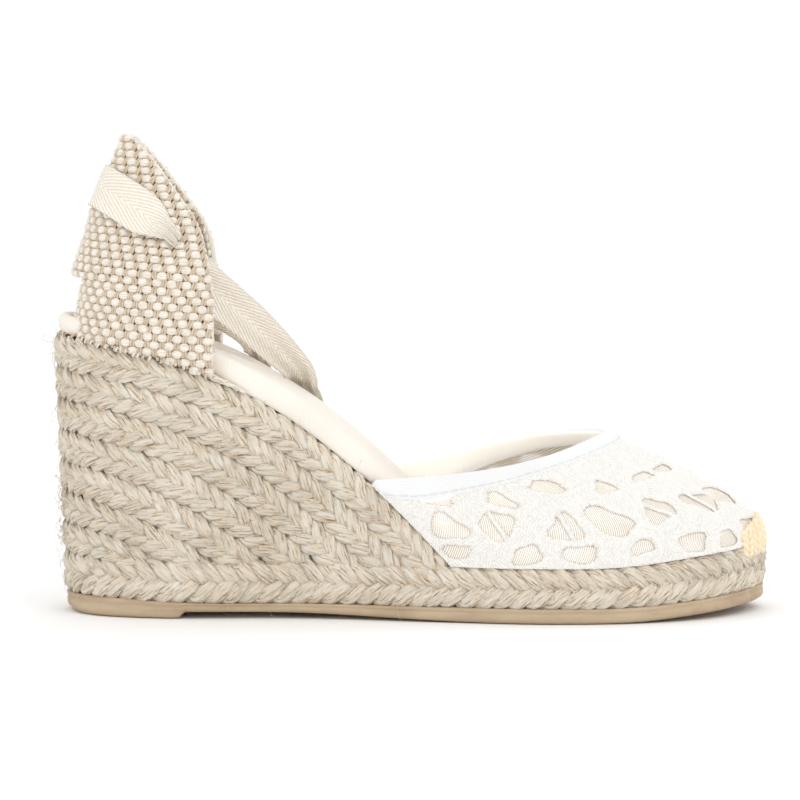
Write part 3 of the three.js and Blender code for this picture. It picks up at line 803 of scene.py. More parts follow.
class CounterCloth:
    """Where a thread count lies: a is the distance round from the heel back, b the height in the cloth."""
    RISE, STEP = 0.6, 0.5

    def __init__(self):
        self.z = np.arange(66.0, 162.0, self.RISE)
        u = np.linspace(-0.04, 1.04, 260)
        foot, _, head = counter_frame(np.clip(u, 0, 1))
        share = (self.z[:, None] - foot[None, :, 2]) / (head[:, 2] - foot[:, 2])[None]
        point = counter_point(np.broadcast_to(u, share.shape), height_v(share))
        step = np.linalg.norm(np.diff(point[..., :2], axis=1), axis=-1)
        run = np.concatenate([np.zeros((len(self.z), 1)), np.cumsum(step, 1)], 1)
        middle = np.array([np.interp(0.5, u, r) for r in run])
        self.a = np.arange(-100.0, 100.0, self.STEP)
        self.u = np.array([np.interp(self.a, r - m, u) for r, m in zip(run, middle)])
        self.outside = np.array([(self.a < r[0] - m) | (self.a > r[-1] - m) for r, m in zip(run, middle)])

    def locate(self, a, b):
        z = b - 0.08 * (np.sqrt(a * a + 144) - 12)
        fi = np.clip((z - self.z[0]) / self.RISE, 0, len(self.z) - 1.001)
        fj = np.clip((a - self.a[0]) / self.STEP, 0, len(self.a) - 1.001)
        i, j = fi.astype(int), fj.astype(int)
        wi, wj = fi - i, fj - j
        u = (self.u[i, j] * (1 - wi) * (1 - wj) + self.u[i + 1, j] * wi * (1 - wj)
             + self.u[i, j + 1] * (1 - wi) * wj + self.u[i + 1, j + 1] * wi * wj)
        foot, _, head = counter_frame(np.clip(u, 0, 1))
        share = (z - foot[..., 2]) / (head[..., 2] - foot[..., 2])
        v = height_v(share)
        inside = (v > 0.0) & (v < 1.0) & (u > 0.0) & (u < 1.0) & ~self.outside[i, j]
        return u, v, inside


CLOTH = CounterCloth()
CELL = 2.42


def runs(mask):
    """The stretches of True in a mask, as slices."""
    edges = np.flatnonzero(np.diff(np.concatenate([[0], mask.astype(int), [0]])))
    return [slice(a, b) for a, b in zip(edges[::2], edges[1::2])]


def puffed(wave):
    """Squares a wave off, so that a yarn bulges over the whole cell it covers."""
    return np.sign(wave) * np.abs(wave) ** 0.55


def cloth_lines(a, b):
    """A thread's visible stretches on the panel and on its hem: the place, the normal and the indices."""
    u, v, inside = CLOTH.locate(a, b)
    foot, _, head = counter_frame(np.clip(u, 0, 1))
    size = np.linalg.norm(head - foot, axis=-1)
    hem = inside & ((v > 1 - 9.0 / size) | (np.minimum(u, 1 - u) < 0.045))
    for mask, side in ((inside, 1), (hem, -1)):
        for part in runs(mask):
            if part.stop - part.start >= 4:
                normal = counter_normal(u[part], v[part])
                point = counter_point(u[part], v[part])
                yield (point if side > 0 else point - normal * 2.5), normal * side, part


def counter_weave():
    """Thick cream wefts laid round the heel over and under pairs of thin tan warps."""
    rng = np.random.default_rng(21)
    cream, tan = Shape(), Shape()
    around = np.arange(-90, 90, CELL / 5)
    for j in range(28, 68):
        puff = puffed(np.cos(math.pi * (around / CELL + j)))
        fat = 1 + wobble(len(around), 6, rng, 0.07)
        for point, normal, part in cloth_lines(around, j * CELL + wobble(len(around), 12, rng, 0.10)):
            tube(cream, point + normal * (0.48 * puff[part])[:, None], normal,
                 (1.14 + 0.24 * puff[part]) * fat[part], 0.62 + 0.20 * puff[part], sides=8,
                 u_shift=rng.uniform(0, 99))
    heights = np.arange(70, 162, CELL / 4)
    for i in range(-32, 33):
        puff = puffed(-np.cos(math.pi * (heights / CELL + i)))
        sway = wobble(len(heights), 10, rng, 0.12)
        for pair in (-0.44, 0.44):
            for point, normal, part in cloth_lines(i * CELL + pair + sway, heights):
                tube(tan, point + normal * (0.42 * puff[part])[:, None], normal, 0.47, 0.42, sides=6, lobes=2,
                     lobe_depth=0.14, twist=1.9, u_shift=rng.uniform(0, 99))
    make("counter_wefts", cream, [CREAM_YARN], ["heel_counter"])
    make("counter_warps", tan, [TAN_YARN])


def counter_fringe():
    """Frayed ends along the cut lower edge, and a tuft that trails forward at each front corner."""
    rng = np.random.default_rng(41)
    shape = Shape()
    for u in np.arange(0.01, 0.99, 0.0085):
        foot, _, _ = counter_frame(np.array(u))
        out = outward(np.array(mixed(COUNTER_T[0], COUNTER_T[1], u)))
        reach, slip = rng.uniform(0.7, 2.2), rng.uniform(-0.9, 0.9)
        t = np.linspace(0, 1, 6)[:, None]
        line = (foot + out * (0.2 + reach * t) + np.array([slip, 0, 0]) * t
                + 0.9 * UP * np.sin(t * 2.2) - 1.3 * UP * t * t * reach / 2)
        tube(shape, line, np.repeat((out + 0.6 * UP)[None], 6, 0), 0.42, 0.34, sides=6,
             slot=int(rng.random() < 0.3), lobes=2, lobe_depth=0.1, twist=1.5)
    for side in (-1, 1):
        for _ in range(12):
            start, reach = COUNTER_FRONT_X + rng.uniform(-3.5, 0.5), rng.uniform(3.5, 10.5)
            x = np.linspace(start, start + reach, 14)
            t = edge_t(x, side)
            across = rng.uniform(0.5, 2.6) + 0.4 * np.sin(x * rng.uniform(0.7, 1.3) + rng.uniform(0, 6))
            lift = 0.5 + rng.uniform(0, 0.9) + 0.35 * np.sin(x * rng.uniform(0.9, 1.7))
            z = row_height(0, x) + lift
            line = raised(edge(t, across), z)
            tube(shape, line, np.repeat(np.array([[0, side * 0.7, 0.7]]), 14, 0), 0.42, 0.36, sides=6,
                 slot=int(rng.random() < 0.25), lobes=2, lobe_depth=0.12, twist=1.6)
    make("counter_fringe", shape, [CREAM_YARN, TAN_YARN])


def counter_selvedge():
    """The rolled edge along the top and down the two fronts."""
    rng = np.random.default_rng(31)
    top = np.stack([np.linspace(0, 1, 260), np.full(260, 0.996)], -1)
    down_near = np.stack([np.full(40, 0.002), np.linspace(0.02, 0.996, 40)], -1)
    down_far = np.stack([np.full(40, 0.998), np.linspace(0.996, 0.02, 40)], -1)
    u, v = np.concatenate([down_near, top[2:-2], down_far]).T
    path = counter_point(u, v)
    normal = counter_normal(np.clip(u, 0.01, 0.99), np.clip(v, 0.02, 0.98))
    even_run, path, normal = resampled(0.6, lengths(path), path, normal)
    normal = unit(normal)
    shape = Shape()
    path = path + normal * 0.1
    fat = 1 + 0.1 * np.sin(even_run * TURN / CELL) + wobble(len(even_run), 5, rng, 0.06)
    tube(shape, path - normal * 1.1, normal, 0.62 * fat, 1.25 * fat, sides=14, lobes=3, lobe_depth=0.08,
         twist=0.9)
    make("counter_selvedge", shape, [CREAM_YARN])


def counter_lining():
    """The plain cotton sheet behind the weave."""
    u, v = np.meshgrid(np.linspace(0.004, 0.996, 160), np.linspace(0.0, 0.992, 70), indexing="ij")
    point, normal = counter_point(u, v), counter_normal(u, v)
    outer, inner = point - normal * 1.15, point - normal * 1.6
    run = lengths(point[:, 35])
    span = lengths(point[80])
    shape = Shape()
    rings = np.concatenate([outer, inner[:, ::-1]], 1)
    shape.grid(rings, run, v=np.concatenate([span, span[::-1] + 0.5, [0]]), wrap=True, cap=True)
    make("counter_inside", shape, [LINING], ["counter_lining"])


counter_weave()
counter_fringe()
counter_selvedge()
counter_lining()


# ------------------------------------------------------------------ vamp
# Share of the opening's depth, of its half width and of its rise; the outer side is cut lower.
TOPLINE_OUTER = [(0.97, 1.0, 0.02), (0.74, 1.0, 0.12), (0.47, 0.96, 0.3), (0.25, 0.78, 0.56),
                 (0.07, 0.4, 0.88)]
TOPLINE_INNER = [(0.97, 1.0, 0), (0.74, 1.0, 0.2), (0.53, 0.98, 0.5), (0.28, 0.8, 0.83), (0.08, 0.42, 0.97)]


def topline_side(shares, side):
    """The points of one side of the foot opening, from the rear end to the throat."""
    return [(THROAT_X - back * (THROAT_X - VAMP_REAR_X), side * wide * TOPLINE_HALF,
             VAMP_REAR_Z + rise * (THROAT_Z - VAMP_REAR_Z)) for back, wide, rise in shares]


_near, _far = topline_side(TOPLINE_OUTER, -1), topline_side(TOPLINE_INNER, 1)[::-1]
TOPLINE = Spline(_near + [(THROAT_X, 0, THROAT_Z)] + _far)
VAMP_T = (edge_t(VAMP_REAR_X, -1), TOE_T, 1 + edge_t(VAMP_REAR_X, 1))


def vamp_point(u, v):
    """u from the outer rear end round the toe to the inner one, v from the welt to the topline."""
    u, v = np.broadcast_arrays(np.asarray(u, float), np.asarray(v, float))
    t = np.where(u < 0.5, mixed(VAMP_T[0], VAMP_T[1], 2 * u), mixed(VAMP_T[1], VAMP_T[2], 2 * u - 1))
    x = edge(t)[..., 0]
    foot = raised(edge(t, VAMP_INSET), rim_height(x) + GAP)
    head = TOPLINE(u)
    rise = (head[..., 2] - foot[..., 2])[..., None] * UP
    first, second = foot + 0.33 * rise, mixed(foot, head, 0.27) + 0.24 * rise
    return bezier(foot, first, second, head, v[..., None])


def vamp_normal(u, v):
    h = 1e-3
    u, v = np.clip(u, h, 1 - h), np.clip(v, h, 1 - h)
    du = vamp_point(u + h, v) - vamp_point(u - h, v)
    dv = vamp_point(u, v + h) - vamp_point(u, v - h)
    return unit(np.cross(du, dv))


def vamp_lengths(u):
    """The length of the vamp's upright line at each u."""
    steps = vamp_point(u[:, None], np.linspace(0, 1, 40)[None])
    return np.linalg.norm(np.diff(steps, axis=1), axis=-1).sum(1)


# Bands of windows in the lace: height share on the vamp, windows a side, half length, half height, lean.
LACE_BANDS = [(0.15, 7, 5.4, 2.7, 2), (0.50, 7, 7.0, 4.1, -20), (0.81, 6, 4.8, 2.1, -14)]
BARRED_BAND = 1
SCALLOP = 1.15


def lace_windows():
    """Each window's centre, axes in the cloth, half sizes and taper; the inner side mirrors the outer."""
    rng = np.random.default_rng(19)
    found = []
    for band, (height, count, long, tall, lean_by) in enumerate(LACE_BANDS):
        for k in range(count):
            u = mixed(0.05, 0.48, (k + 0.5 + rng.uniform(-0.18, 0.18)) / count)
            v = height + rng.uniform(-0.05, 0.05)
            a, b = long * rng.uniform(0.7, 1.15), tall * rng.uniform(0.75, 1.15)
            turn, taper = math.radians(lean_by + rng.uniform(-16, 16)), rng.uniform(-0.4, 0.4)
            for mirror in (False, True):
                at = 1 - u if mirror else u
                point = vamp_point(at, v)
                along = unit(vamp_point(at + 0.002, v) - vamp_point(at - 0.002, v)) * (-1 if mirror else 1)
                up = unit(vamp_point(at, v + 0.01) - vamp_point(at, v - 0.01))
                up = unit(up - along * (up @ along))
                x_axis = along * math.cos(turn) + up * math.sin(turn)
                y_axis = -along * math.sin(turn) + up * math.cos(turn)
                found.append((point, x_axis, y_axis, a, b, taper, band == BARRED_BAND and k % 3 != 0))
    return found


def lace_seeds(rng):
    """Centres of the lace's petals, spread evenly over the vamp."""
    centres = []
    for _ in range(6000):
        point = vamp_point(rng.uniform(0.0, 1.0), rng.uniform(-0.02, 1.0))
        if all(np.linalg.norm(point - other) > 6.4 for other in centres):
            centres.append(point)
    return np.array(centres)


def lace():
    """Corded lace: satin-stitched petals, a raised cord round each window, bars across the larger ones."""
    rng = np.random.default_rng(77)
    nu, nv = 560, 94
    u = np.linspace(0.004, 0.996, nu)
    v = np.linspace(0.0, 0.97, nv)
    uu, vv = np.meshgrid(u, v, indexing="ij")
    surface, normal = vamp_point(uu, vv), vamp_normal(uu, vv)
    flat = surface.reshape(-1, 3)

    gap, around = np.full(len(flat), 50.0), np.zeros(len(flat))
    bars = np.full(len(flat), -9.0)
    for point, x_axis, y_axis, a, b, taper, barred in lace_windows():
        offset = flat - point
        close = np.flatnonzero((offset ** 2).sum(1) < (a + 9) ** 2)
        x, y = offset[close] @ x_axis, offset[close] @ y_axis
        tall = b * np.clip(1 + taper * x / a, 0.3, 1.7)
        size = ((np.abs(x) / a) ** 3.0 + (np.abs(y) / tall) ** 3.0) ** (1 / 3)
        angle = np.arctan2(y / b, x / a)
        size = size * (1 + 0.10 * np.cos(3 * angle + 40 * a) + 0.05 * np.cos(5 * angle + 60 * b))
        distance = (size - 1) * min(a, b)
        loop = angle * (a + b) / 2
        distance = distance - 0.16 * np.sin(loop * TURN / SCALLOP)
        nearer = distance < gap[close]
        gap[close[nearer]], around[close[nearer]] = distance[nearer], loop[nearer]
        if barred:
            bar = 0.72 - np.abs(x * 0.62 + y * 0.79 - 0.35 * np.sin(x / 2.1))
            bars[close] = np.where(distance < 0.4, np.maximum(bars[close], bar), bars[close])
    scallop = np.sin(around * TURN / SCALLOP)
    field = np.maximum(gap, bars)
    border = (vv.reshape(-1) < 0.035) | (vv.reshape(-1) > 0.90)
    field = np.where(border, np.maximum(field, 1.0), field)

    seeds = lace_seeds(rng)
    lean_by = rng.uniform(-0.9, 0.9, len(seeds))
    along = unit(np.gradient(surface, axis=0)).reshape(-1, 3)
    up = np.cross(normal.reshape(-1, 3), along)
    first, second = np.full(len(flat), 1e9), np.full(len(flat), 1e9)
    local, owner = np.zeros((len(flat), 2)), np.zeros(len(flat), int)
    for k, centre in enumerate(seeds):
        offset = flat - centre
        close = np.flatnonzero((offset ** 2).sum(1) < 20 ** 2)
        a, b = (offset[close] * along[close]).sum(1), (offset[close] * up[close]).sum(1)
        c, s = math.cos(lean_by[k]), math.sin(lean_by[k])
        x, y = a * c + b * s, -a * s + b * c
        distance = np.sqrt((x / 1.5) ** 2 + y ** 2)
        better = distance < first[close]
        second[close] = np.where(better, first[close], np.minimum(second[close], distance))
        local[close[better]] = np.stack([x[better], y[better]], -1)
        first[close[better]], owner[close[better]] = distance[better], k
    petal = smooth(0.0, 2.6, second - first)
    cord = np.exp(-((second - first) / 0.55) ** 2)
    near_edge = np.exp(-((gap - 0.85) / 0.6) ** 2)
    ribs = np.sin(TURN * (local[:, 0] + 0.6 * np.abs(local[:, 1])) / 1.25)
    calm = smooth(0.9, 2.2, gap)
    relief = (0.24 + 0.30 * near_edge + (0.30 * petal + 0.36 * cord + 0.07 * ribs * petal) * calm
              + 0.05 * scallop * near_edge)
    relief = np.where(gap < 0.05, 0.30, relief)
    relief = (relief * smooth(-0.1, 0.45, field) + 0.12).reshape(nu, nv)

    def stitch_uv(corners):
        """Corner UVs in the frame of the petal that each face's first corner lies in."""
        petal_of = owner[corners[:, :1]]
        offset = flat[corners] - seeds[petal_of]
        a, b = (offset * along[corners]).sum(-1), (offset * up[corners]).sum(-1)
        c, s = np.cos(lean_by[petal_of]), np.sin(lean_by[petal_of])
        return np.stack([a * c + b * s, -a * s + b * c], -1)

    build_lace(surface, normal, field.reshape(nu, nv), relief, stitch_uv)


def build_lace(surface, normal, field, relief, stitch_uv):
    """Keeps the solid part of the sheet, with its outline drawn smooth, and gives it two faces and a rim."""
    nu, nv = field.shape
    moved = surface.copy()
    solid = field > 0
    best = np.full(field.shape, 2.0)
    target = surface.copy()
    for di in (-1, 0, 1):
        for dj in (-1, 0, 1):
            if di == 0 and dj == 0:
                continue
            shifted = np.roll(np.roll(field, -di, 0), -dj, 1)
            place = np.roll(np.roll(surface, -di, 0), -dj, 1)
            ok = ~solid & (shifted > 0)
            if di:
                ok[0 if di < 0 else -1, :] = False
            if dj:
                ok[:, 0 if dj < 0 else -1] = False
            share = np.where(ok, -field / np.maximum(shifted - field, 1e-6), 9)
            closer = share < best
            best = np.where(closer, share, best)
            crossing = mixed(surface, place, np.clip(share, 0, 1)[..., None])
            target = np.where(closer[..., None], crossing, target)
    snapped = best < 1.5
    moved[snapped] = target[snapped]
    use = solid | snapped
    keep = use[:-1, :-1] & use[1:, :-1] & use[1:, 1:] & use[:-1, 1:]
    keep &= (solid[:-1, :-1].astype(int) + solid[1:, :-1] + solid[1:, 1:] + solid[:-1, 1:]) > 0
    height = np.where(solid, relief, 0.10)
    index = -np.ones((nu, nv), int)
    used = np.zeros((nu, nv), bool)
    for a, b in ((0, 0), (1, 0), (1, 1), (0, 1)):
        used[a:nu - 1 + a, b:nv - 1 + b] |= keep
    index[used] = np.arange(used.sum())
    outer = moved[used] + normal[used] * height[used][:, None]
    inner = moved[used] - normal[used] * 0.08
    count = len(outer)
    quads = np.stack([index[:-1, :-1], index[1:, :-1], index[1:, 1:], index[:-1, 1:]], -1)[keep]
    shape = Shape()
    shape.add_points(np.concatenate([outer, inner]))
    sides = np.concatenate([quads[:, [0, 1]], quads[:, [1, 2]], quads[:, [2, 3]], quads[:, [3, 0]]])
    key = np.sort(sides, 1)
    order = np.lexsort((key[:, 1], key[:, 0]))
    same = (key[order][1:] == key[order][:-1]).all(1)
    single = np.ones(len(key), bool)
    single[order[1:][same]] = False
    single[order[:-1][same]] = False
    rim = sides[single]
    walls = np.stack([rim[:, 1], rim[:, 0], rim[:, 0] + count, rim[:, 1] + count], -1)
    faces = np.concatenate([quads, quads[:, ::-1] + count, walls])
    source = np.flatnonzero(used.ravel())
    front_uv = stitch_uv(source[quads])
    wall_uv = stitch_uv(source[rim[:, [0, 0, 0, 0]]])
    shape.add_faces(faces, np.concatenate([front_uv, front_uv[:, ::-1], wall_uv]))
    make("lace_vamp", shape, [LACE], ["vamp_lace"])


def net():
    """The net sheet just inside the lace."""
    uu, vv = np.meshgrid(np.linspace(0.004, 0.996, 200), np.linspace(0, 0.985, 50), indexing="ij")
    point, normal = vamp_point(uu, vv), vamp_normal(uu, vv)
    run = lengths(point[:, 20])
    span = vamp_lengths(uu[:, 0])
    shape = Shape()
    shape.grid(point - normal * 0.35, np.repeat(run[:, None], 50, 1), v=vv * span[:, None])
    make("net_lining", shape, [NET], ["vamp_mesh_lining"])


def binding():
    """White tape folded over the topline and stitched through near its lower edge."""
    rng = np.random.default_rng(8)
    n = 420
    u = np.linspace(0.001, 0.999, n)
    span = vamp_lengths(u)
    run = lengths(TOPLINE(u))
    width = mixed(5.8, 3.4, smooth(0.02, 0.30, np.minimum(u, 1 - u)))
    width = np.minimum(width, span * 0.9)
    pucker = 0.035 * np.cos(TURN * run / 3.0)
    stops = [(1.0, 0.55), (0.92, 0.85), (0.6, 0.98), (0.3, 1.02), (0.1, 1.0), (0.0, 0.75)]
    outer = [(1 - back * width / span, out) for back, out in stops]
    deep = np.minimum(1.4 * width, 0.85 * span)
    inner = [(1 - back * deep / span, -out - 0.55) for back, out in reversed(stops)]
    rings = [vamp_point(u, v) + vamp_normal(u, v) * (out + pucker)[:, None] for v, out in outer]
    crest = unit(vamp_point(u, 0.999) - vamp_point(u, 0.97))
    rings += [vamp_point(u, 1.0) + crest * lift + vamp_normal(u, 0.995) * out
              for lift, out in ((0.55, 0.4), (0.75, -0.25), (0.55, -0.95))]
    rings += [vamp_point(u, v) + vamp_normal(u, v) * out for v, out in inner]
    rings = np.stack(rings, 1)
    across = np.concatenate([[0], np.cumsum(np.linalg.norm(np.diff(rings[n // 4], axis=0), axis=-1)), [12]])
    shape = Shape()
    shape.grid(rings, run, v=across, wrap=True, cap=True)
    sides = rings.shape[1]
    # Faces inside the fold take the third material: the lighter, glowing copy of the tape, which is painted
    # light.
    shape.slots = [2 if k < (n - 1) * sides and k % sides >= 7 else 0 for k in range(len(shape.slots))]
    stitch_line(shape, u, span, width, run, rng)
    make("topline_tape", shape, [BINDING, THREAD, LIT_BINDING_INSIDE], ["topline_binding"])


def stitch_line(shape, u, span, width, run, rng):
    """The row of stitches near the binding's lower edge."""
    pitch, length = 3.0, 2.1
    for start in np.arange(2.0, run[-1] - 3, pitch):
        s = np.linspace(start, start + length, 6)
        at = np.interp(s, run, u)
        v = 1 - 0.80 * np.interp(s, run, width) / np.interp(s, run, span)
        bow = 0.16 * np.sin(np.linspace(0, math.pi, 6))
        normal = vamp_normal(at, v)
        line = vamp_point(at, v) + normal * (0.93 + bow)[:, None]
        line[:, 2] += rng.uniform(-0.08, 0.08)
        tube(shape, line, normal, 0.2, 0.17, sides=6, slot=1)


lace()
net()
binding()


# ------------------------------------------------------------------ toe stitching
def toe_stitches():
    """Columns of twisted yarn, side by side, that tie the vamp to the welt at the toe tip."""
    rng = np.random.default_rng(3)
    shape = Shape()
    half, columns, pitch = 19.0, 15, 4.4
    share = np.linspace(0.28, 0.72, 400)
    offset = vamp_point(share, 0.0)[:, 1] - TOE_TIP_Y
    for k in range(columns):
        y = mixed(-half, half, k / (columns - 1))
        u = float(np.interp(y, offset, share))
        reach = 15.5 - 6.5 * (abs(y) / half) ** 2
        span = float(vamp_lengths(np.array([u]))[0])
        v = np.linspace(-0.10, reach / span, 40)
        line = vamp_point(np.full(40, u), v)
        normal = vamp_normal(np.full(40, u), np.maximum(v, 0.01))
        fine, line, normal = resampled(0.34, lengths(line), line, normal)
        normal = unit(normal)
        across = unit(np.cross(normal, unit(np.gradient(line, axis=0))))
        turn = (1 if k % 2 else -1) * TURN * fine / pitch + rng.uniform(0, 0.6)
        for strand in (0, math.pi):
            path = (line + across * (0.74 * np.cos(turn + strand))[:, None]
                    + normal * (0.95 + 0.5 * np.sin(turn + strand))[:, None])
            tube(shape, path, normal, 0.84, 0.78, sides=10, lobes=3, lobe_depth=0.08, twist=0.8,
                 u_shift=rng.uniform(0, 99))
    make("toe_yarn_stitches", shape, [TOE_YARN], ["toe_stitching"])


toe_stitches()


# ------------------------------------------------------------------ ankle tape
hank_low, hank_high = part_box("ankle_tape_hank")
HANK_LOW = np.array(hank_low) / MM - ORIGIN
HANK_HIGH = np.array(hank_high) / MM - ORIGIN
TAIL_OUTER_X, TAIL_INNER_X = 83.0, 67.0


def wrap_stations():
    """Round the back of the counter, from the outer slit to the inner one: point, width direction, width."""
    u = np.linspace(SLIT_U + 0.02, 1 - SLIT_U - 0.02, 70)
    share = (u - u[0]) / (u[-1] - u[0])
    v = mixed(SLIT_V, 0.75, np.sin(math.pi * share) ** 0.8)
    room = smooth(-0.02, 0.12, np.minimum(share, 1 - share))
    width = mixed(5.6, TAPE_WIDTH - 0.6, room)
    normal = counter_normal(u, v)
    point = counter_point(u, v) + normal * (1.75 + 0.5 * (1 - room))[:, None]
    up = unit(counter_point(u, v + 0.01) - counter_point(u, v - 0.01))
    return [(p, w, float(s)) for p, w, s in zip(point[::3], up[::3], width[::3])]


def over_edge(x, narrow, lead):
    """Across the footbed's inner lip, gathered to narrow there, and down beside the wedge."""
    side = float(edge(edge_t(x, 1))[1])
    top = float(seat_height(x)) + FOOTBED_RISE
    slope = float(seat_height(x + 4) - seat_height(x - 4)) / 8
    along = unit(np.array([1, 0, slope]))
    across = np.array([1.0, 0, 0])
    hang = HANK_LOW[1] + 2.0
    return [
        (np.array([x - 2.4, side - 9.5, top + 5.0 - 2.4 * slope]), lead, narrow),
        (np.array([x - 0.8, side - 4.5, top + 2.2 - 0.8 * slope]), unit(lead + along), narrow),
        (np.array([x, side - 1.0, top + 0.3]), along, narrow),
        (np.array([x + 0.3, side + 1.7, top - 6]), along, mixed(narrow, TAPE_WIDTH, 0.5)),
        (np.array([x + 0.5, side + 2.1, top - 15]), across, TAPE_WIDTH),
        (np.array([x + 0.5, mixed(side + 2.2, hang, 0.4), mixed(top - 15, HANK_HIGH[2], 0.5)]),
         across, TAPE_WIDTH),
        (np.array([x + 0.5, hang, HANK_HIGH[2] + 1]), across, TAPE_WIDTH),
    ]


def slit(side):
    """The middle of the slit that the tape goes through on one side."""
    return counter_point(SLIT_U if side < 0 else 1 - SLIT_U, SLIT_V)


def tail_outer():
    """From the outer slit, inside the counter, down to the inner edge of the footbed."""
    s = slit(-1)
    return [
        (s + [0.6, -1.2, 0], UP, 4.6), (s + [0.6, 1.5, -0.2], UP, 4.4), (s + [2.6, 5.0, -3.2], UP, 7.0),
        (np.array([51.0, -12, 109.0]), unit(np.array([0.45, 0.1, 0.9])), 13.0),
        (np.array([58.0, -5, 101.5]), unit(np.array([0.6, 0.15, 0.78])), 13.5),
        (np.array([65.5, 2, 94.5]), unit(np.array([0.66, 0.2, 0.7])), 13.0),
        (np.array([73.0, 10, 86.5]), unit(np.array([0.8, 0.25, 0.5])), 12.0),
    ]


def tail_inner():
    """From the inner slit: a loop behind the other tail, which then turns edge-on and goes over the lip."""
    s = slit(1)
    return [
        (s + [0.6, 1.2, 0], UP, 4.6), (s + [0.6, -1.5, -0.2], UP, 4.4), (s + [2.4, -4.6, -3.0], UP, 6.5),
        (np.array([50.5, 13.5, 108]), unit(np.array([0.8, -0.3, 0.5])), 11.0),
        (np.array([55.5, 12.0, 98.5]), unit(np.array([0.75, -0.3, 0.55])), 13.0),
        (np.array([60.0, 14.0, 94.5]), unit(np.array([0.5, 0.2, 0.8])), 11.5),
    ]


def folded(start_x, count, first_layer, direction):
    """The spare end, folded to and fro on its edge beside the wedge."""
    low, high = HANK_LOW[0] + 3, HANK_HIGH[0] - 3
    z = HANK_LOW[2] + TAPE_WIDTH / 2 + 0.4
    stations = [(np.array([start_x, HANK_LOW[1] + 2.0 + 0.2 * first_layer, z + 7.5]),
                 unit(np.array([0.9 * direction, 0, 0.5])), TAPE_WIDTH * 0.7)]
    for layer in range(count):
        y = HANK_LOW[1] + 1.0 + 0.78 * (first_layer + layer)
        ends = (low, high) if (layer % 2 == 0) == (direction > 0) else (high, low)
        if layer == 0:
            ends = (start_x + 4 * direction, ends[1])
        for share in (0.06, 0.35, 0.65, 0.94):
            stations.append((np.array([mixed(ends[0], ends[1], share), y, z]), UP, TAPE_WIDTH - 0.6))
    return stations


def ankle_tape():
    """One strip of tape from end to end: two folded ends, two tails, and the stretch round the heel."""
    outer_end = folded(TAIL_OUTER_X, 5, 0, 1)
    inner_end = folded(TAIL_INNER_X, 5, 5.4, -1)
    outer = tail_outer() + over_edge(TAIL_OUTER_X, 10.0, unit(np.array([0.85, 0.3, 0.2]))) + outer_end
    inner = tail_inner() + over_edge(TAIL_INNER_X, 7.0, unit(np.array([0.45, 0.8, 0.3]))) + inner_end
    stations = outer[::-1] + wrap_stations() + inner
    centres, wides, widths = (np.array(values) for values in zip(*stations))
    for k in range(1, len(wides)):
        if wides[k] @ wides[k - 1] < 0:
            wides[k] *= -1
    curve, turn, size = Spline(centres), Spline(wides), Spline(widths[:, None])
    t = even(curve, 0, 1, 1.0)
    path = curve(t)
    along = unit(np.gradient(path, axis=0))
    wide = turn(t)
    wide = unit(wide - along * (wide * along).sum(-1, keepdims=True))
    normal = np.cross(along, wide)
    width = np.clip(size(t)[:, 0], 4.2, TAPE_WIDTH)
    run = lengths(path)
    across = np.linspace(-1, 1, 19)
    gather = np.clip(1 - width / TAPE_WIDTH, 0, 1)
    cup = 0.35 * np.cos(across * math.pi / 2)[None, :] * (1 - gather[:, None])
    pleat = 1.25 * gather[:, None] * np.sin(across * 2.5 * math.pi)[None, :]
    drift = 0.18 * np.sin(run[:, None] / 9.0 + 3 * across[None, :])
    off = cup + pleat + drift * smooth(0, 0.3, 1 - gather)[:, None]
    middle = path[:, None, :] + wide[:, None, :] * (width[:, None] / 2 * across)[..., None]
    thick = 0.32
    front = middle + normal[:, None, :] * (off + thick)[..., None]
    back = middle + normal[:, None, :] * (off - thick)[..., None]
    rings = np.concatenate([front, back[:, ::-1]], 1)
    v = (across + 1) / 2 * TAPE_WIDTH
    shape = Shape()
    shape.grid(rings, run, v=np.concatenate([v, v[::-1], [0]]), wrap=True, cap=True)
    obj = make("ankle_tape", shape, [TAPE],
               ["ankle_tape_wrap", "ankle_tape_tail_outer", "ankle_tape_tail_inner", "ankle_tape_hank"])
    return float(run[-1])


TAPE_LENGTH = ankle_tape()


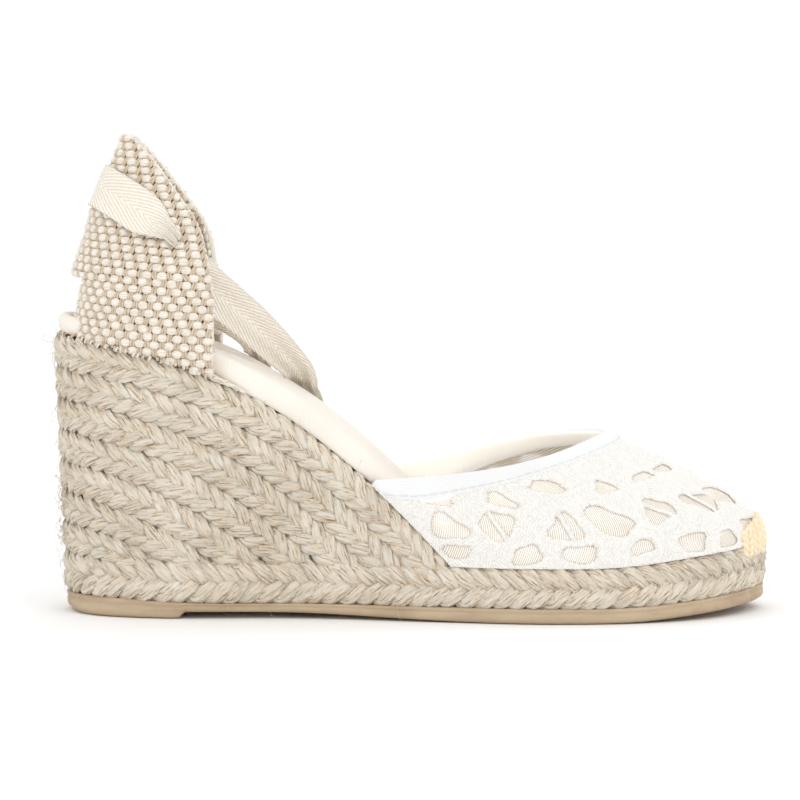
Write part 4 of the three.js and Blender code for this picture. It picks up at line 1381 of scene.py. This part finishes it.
# ------------------------------------------------------------------ floor, light and camera
def studio():
    """A pale floor that curves up into the backdrop, an even white sky and three soft lamps."""
    below = 0.0002
    z = float(sole_low[2]) - below
    half, front, back, radius, tall = 4.0, -3.0, 1.6, 0.8, 4.0
    aim, sky = Vector((0, 0, 0.06)), 1.04
    turn = np.linspace(0, math.pi / 2, 17)
    profile = [(front, z)] + [(back + radius * math.sin(a), z + radius * (1 - math.cos(a))) for a in turn]
    profile.append((back + radius, z + tall))
    points = [(x, y, h) for y, h in profile for x in (-half, half)]
    faces = [(2 * k, 2 * k + 1, 2 * k + 3, 2 * k + 2) for k in range(len(profile) - 1)]
    mesh = bpy.data.meshes.new("floor")
    mesh.from_pydata(points, [], faces)
    mesh.polygons.foreach_set("use_smooth", np.ones(len(faces), dtype=bool))
    floor = bpy.data.objects.new("floor", mesh)
    bpy.context.scene.collection.objects.link(floor)
    mesh.materials.append(plain_look("studio_paper", (0.96,) * 3 + (1,), (0.95,) * 3 + (1,), 0.9, 4, 0.02))

    world = bpy.data.worlds.new("studio")
    bpy.context.scene.world = world
    world.use_nodes = True
    background = world.node_tree.nodes["Background"]
    background.inputs["Color"].default_value = (1.0, 1.0, 1.0, 1)
    background.inputs["Strength"].default_value = sky
    for name, place, size, power in (
            ("key", (0.55, -0.9, 1.0), 0.8, 3.0), ("fill", (-0.9, -0.7, 0.7), 0.9, 0.8),
            ("back", (0.1, 0.9, 1.1), 0.9, 2.0)):
        data = bpy.data.lights.new(name, "AREA")
        data.shape, data.size, data.energy = "DISK", size, power
        lamp = bpy.data.objects.new(name, data)
        lamp.location = place
        lamp.rotation_euler = (aim - Vector(place)).to_track_quat("-Z", "Y").to_euler()
        bpy.context.scene.collection.objects.link(lamp)
    bpy.context.scene.view_settings.view_transform = "Standard"


def camera():
    """Level with the shoe's outer side, a little above it, as the photograph was taken."""
    distance, elevation = 1.2, math.radians(4.5)
    aim_x, aim_z, lens, sensor = 115.0, 68.8, 163.6, 36.0
    aim = Vector(((aim_x + ORIGIN[0]) * MM, 0.0, aim_z * MM))
    data = bpy.data.cameras.new("camera")
    data.lens, data.sensor_width = lens, sensor
    cam = bpy.data.objects.new("camera", data)
    back = Vector((0, -math.cos(elevation), math.sin(elevation)))
    cam.location = aim + back * distance
    cam.rotation_mode = "QUATERNION"
    cam.rotation_quaternion = (-back).to_track_quat("-Z", "Y")
    bpy.context.scene.collection.objects.link(cam)
    bpy.context.scene.camera = cam


studio()
camera()
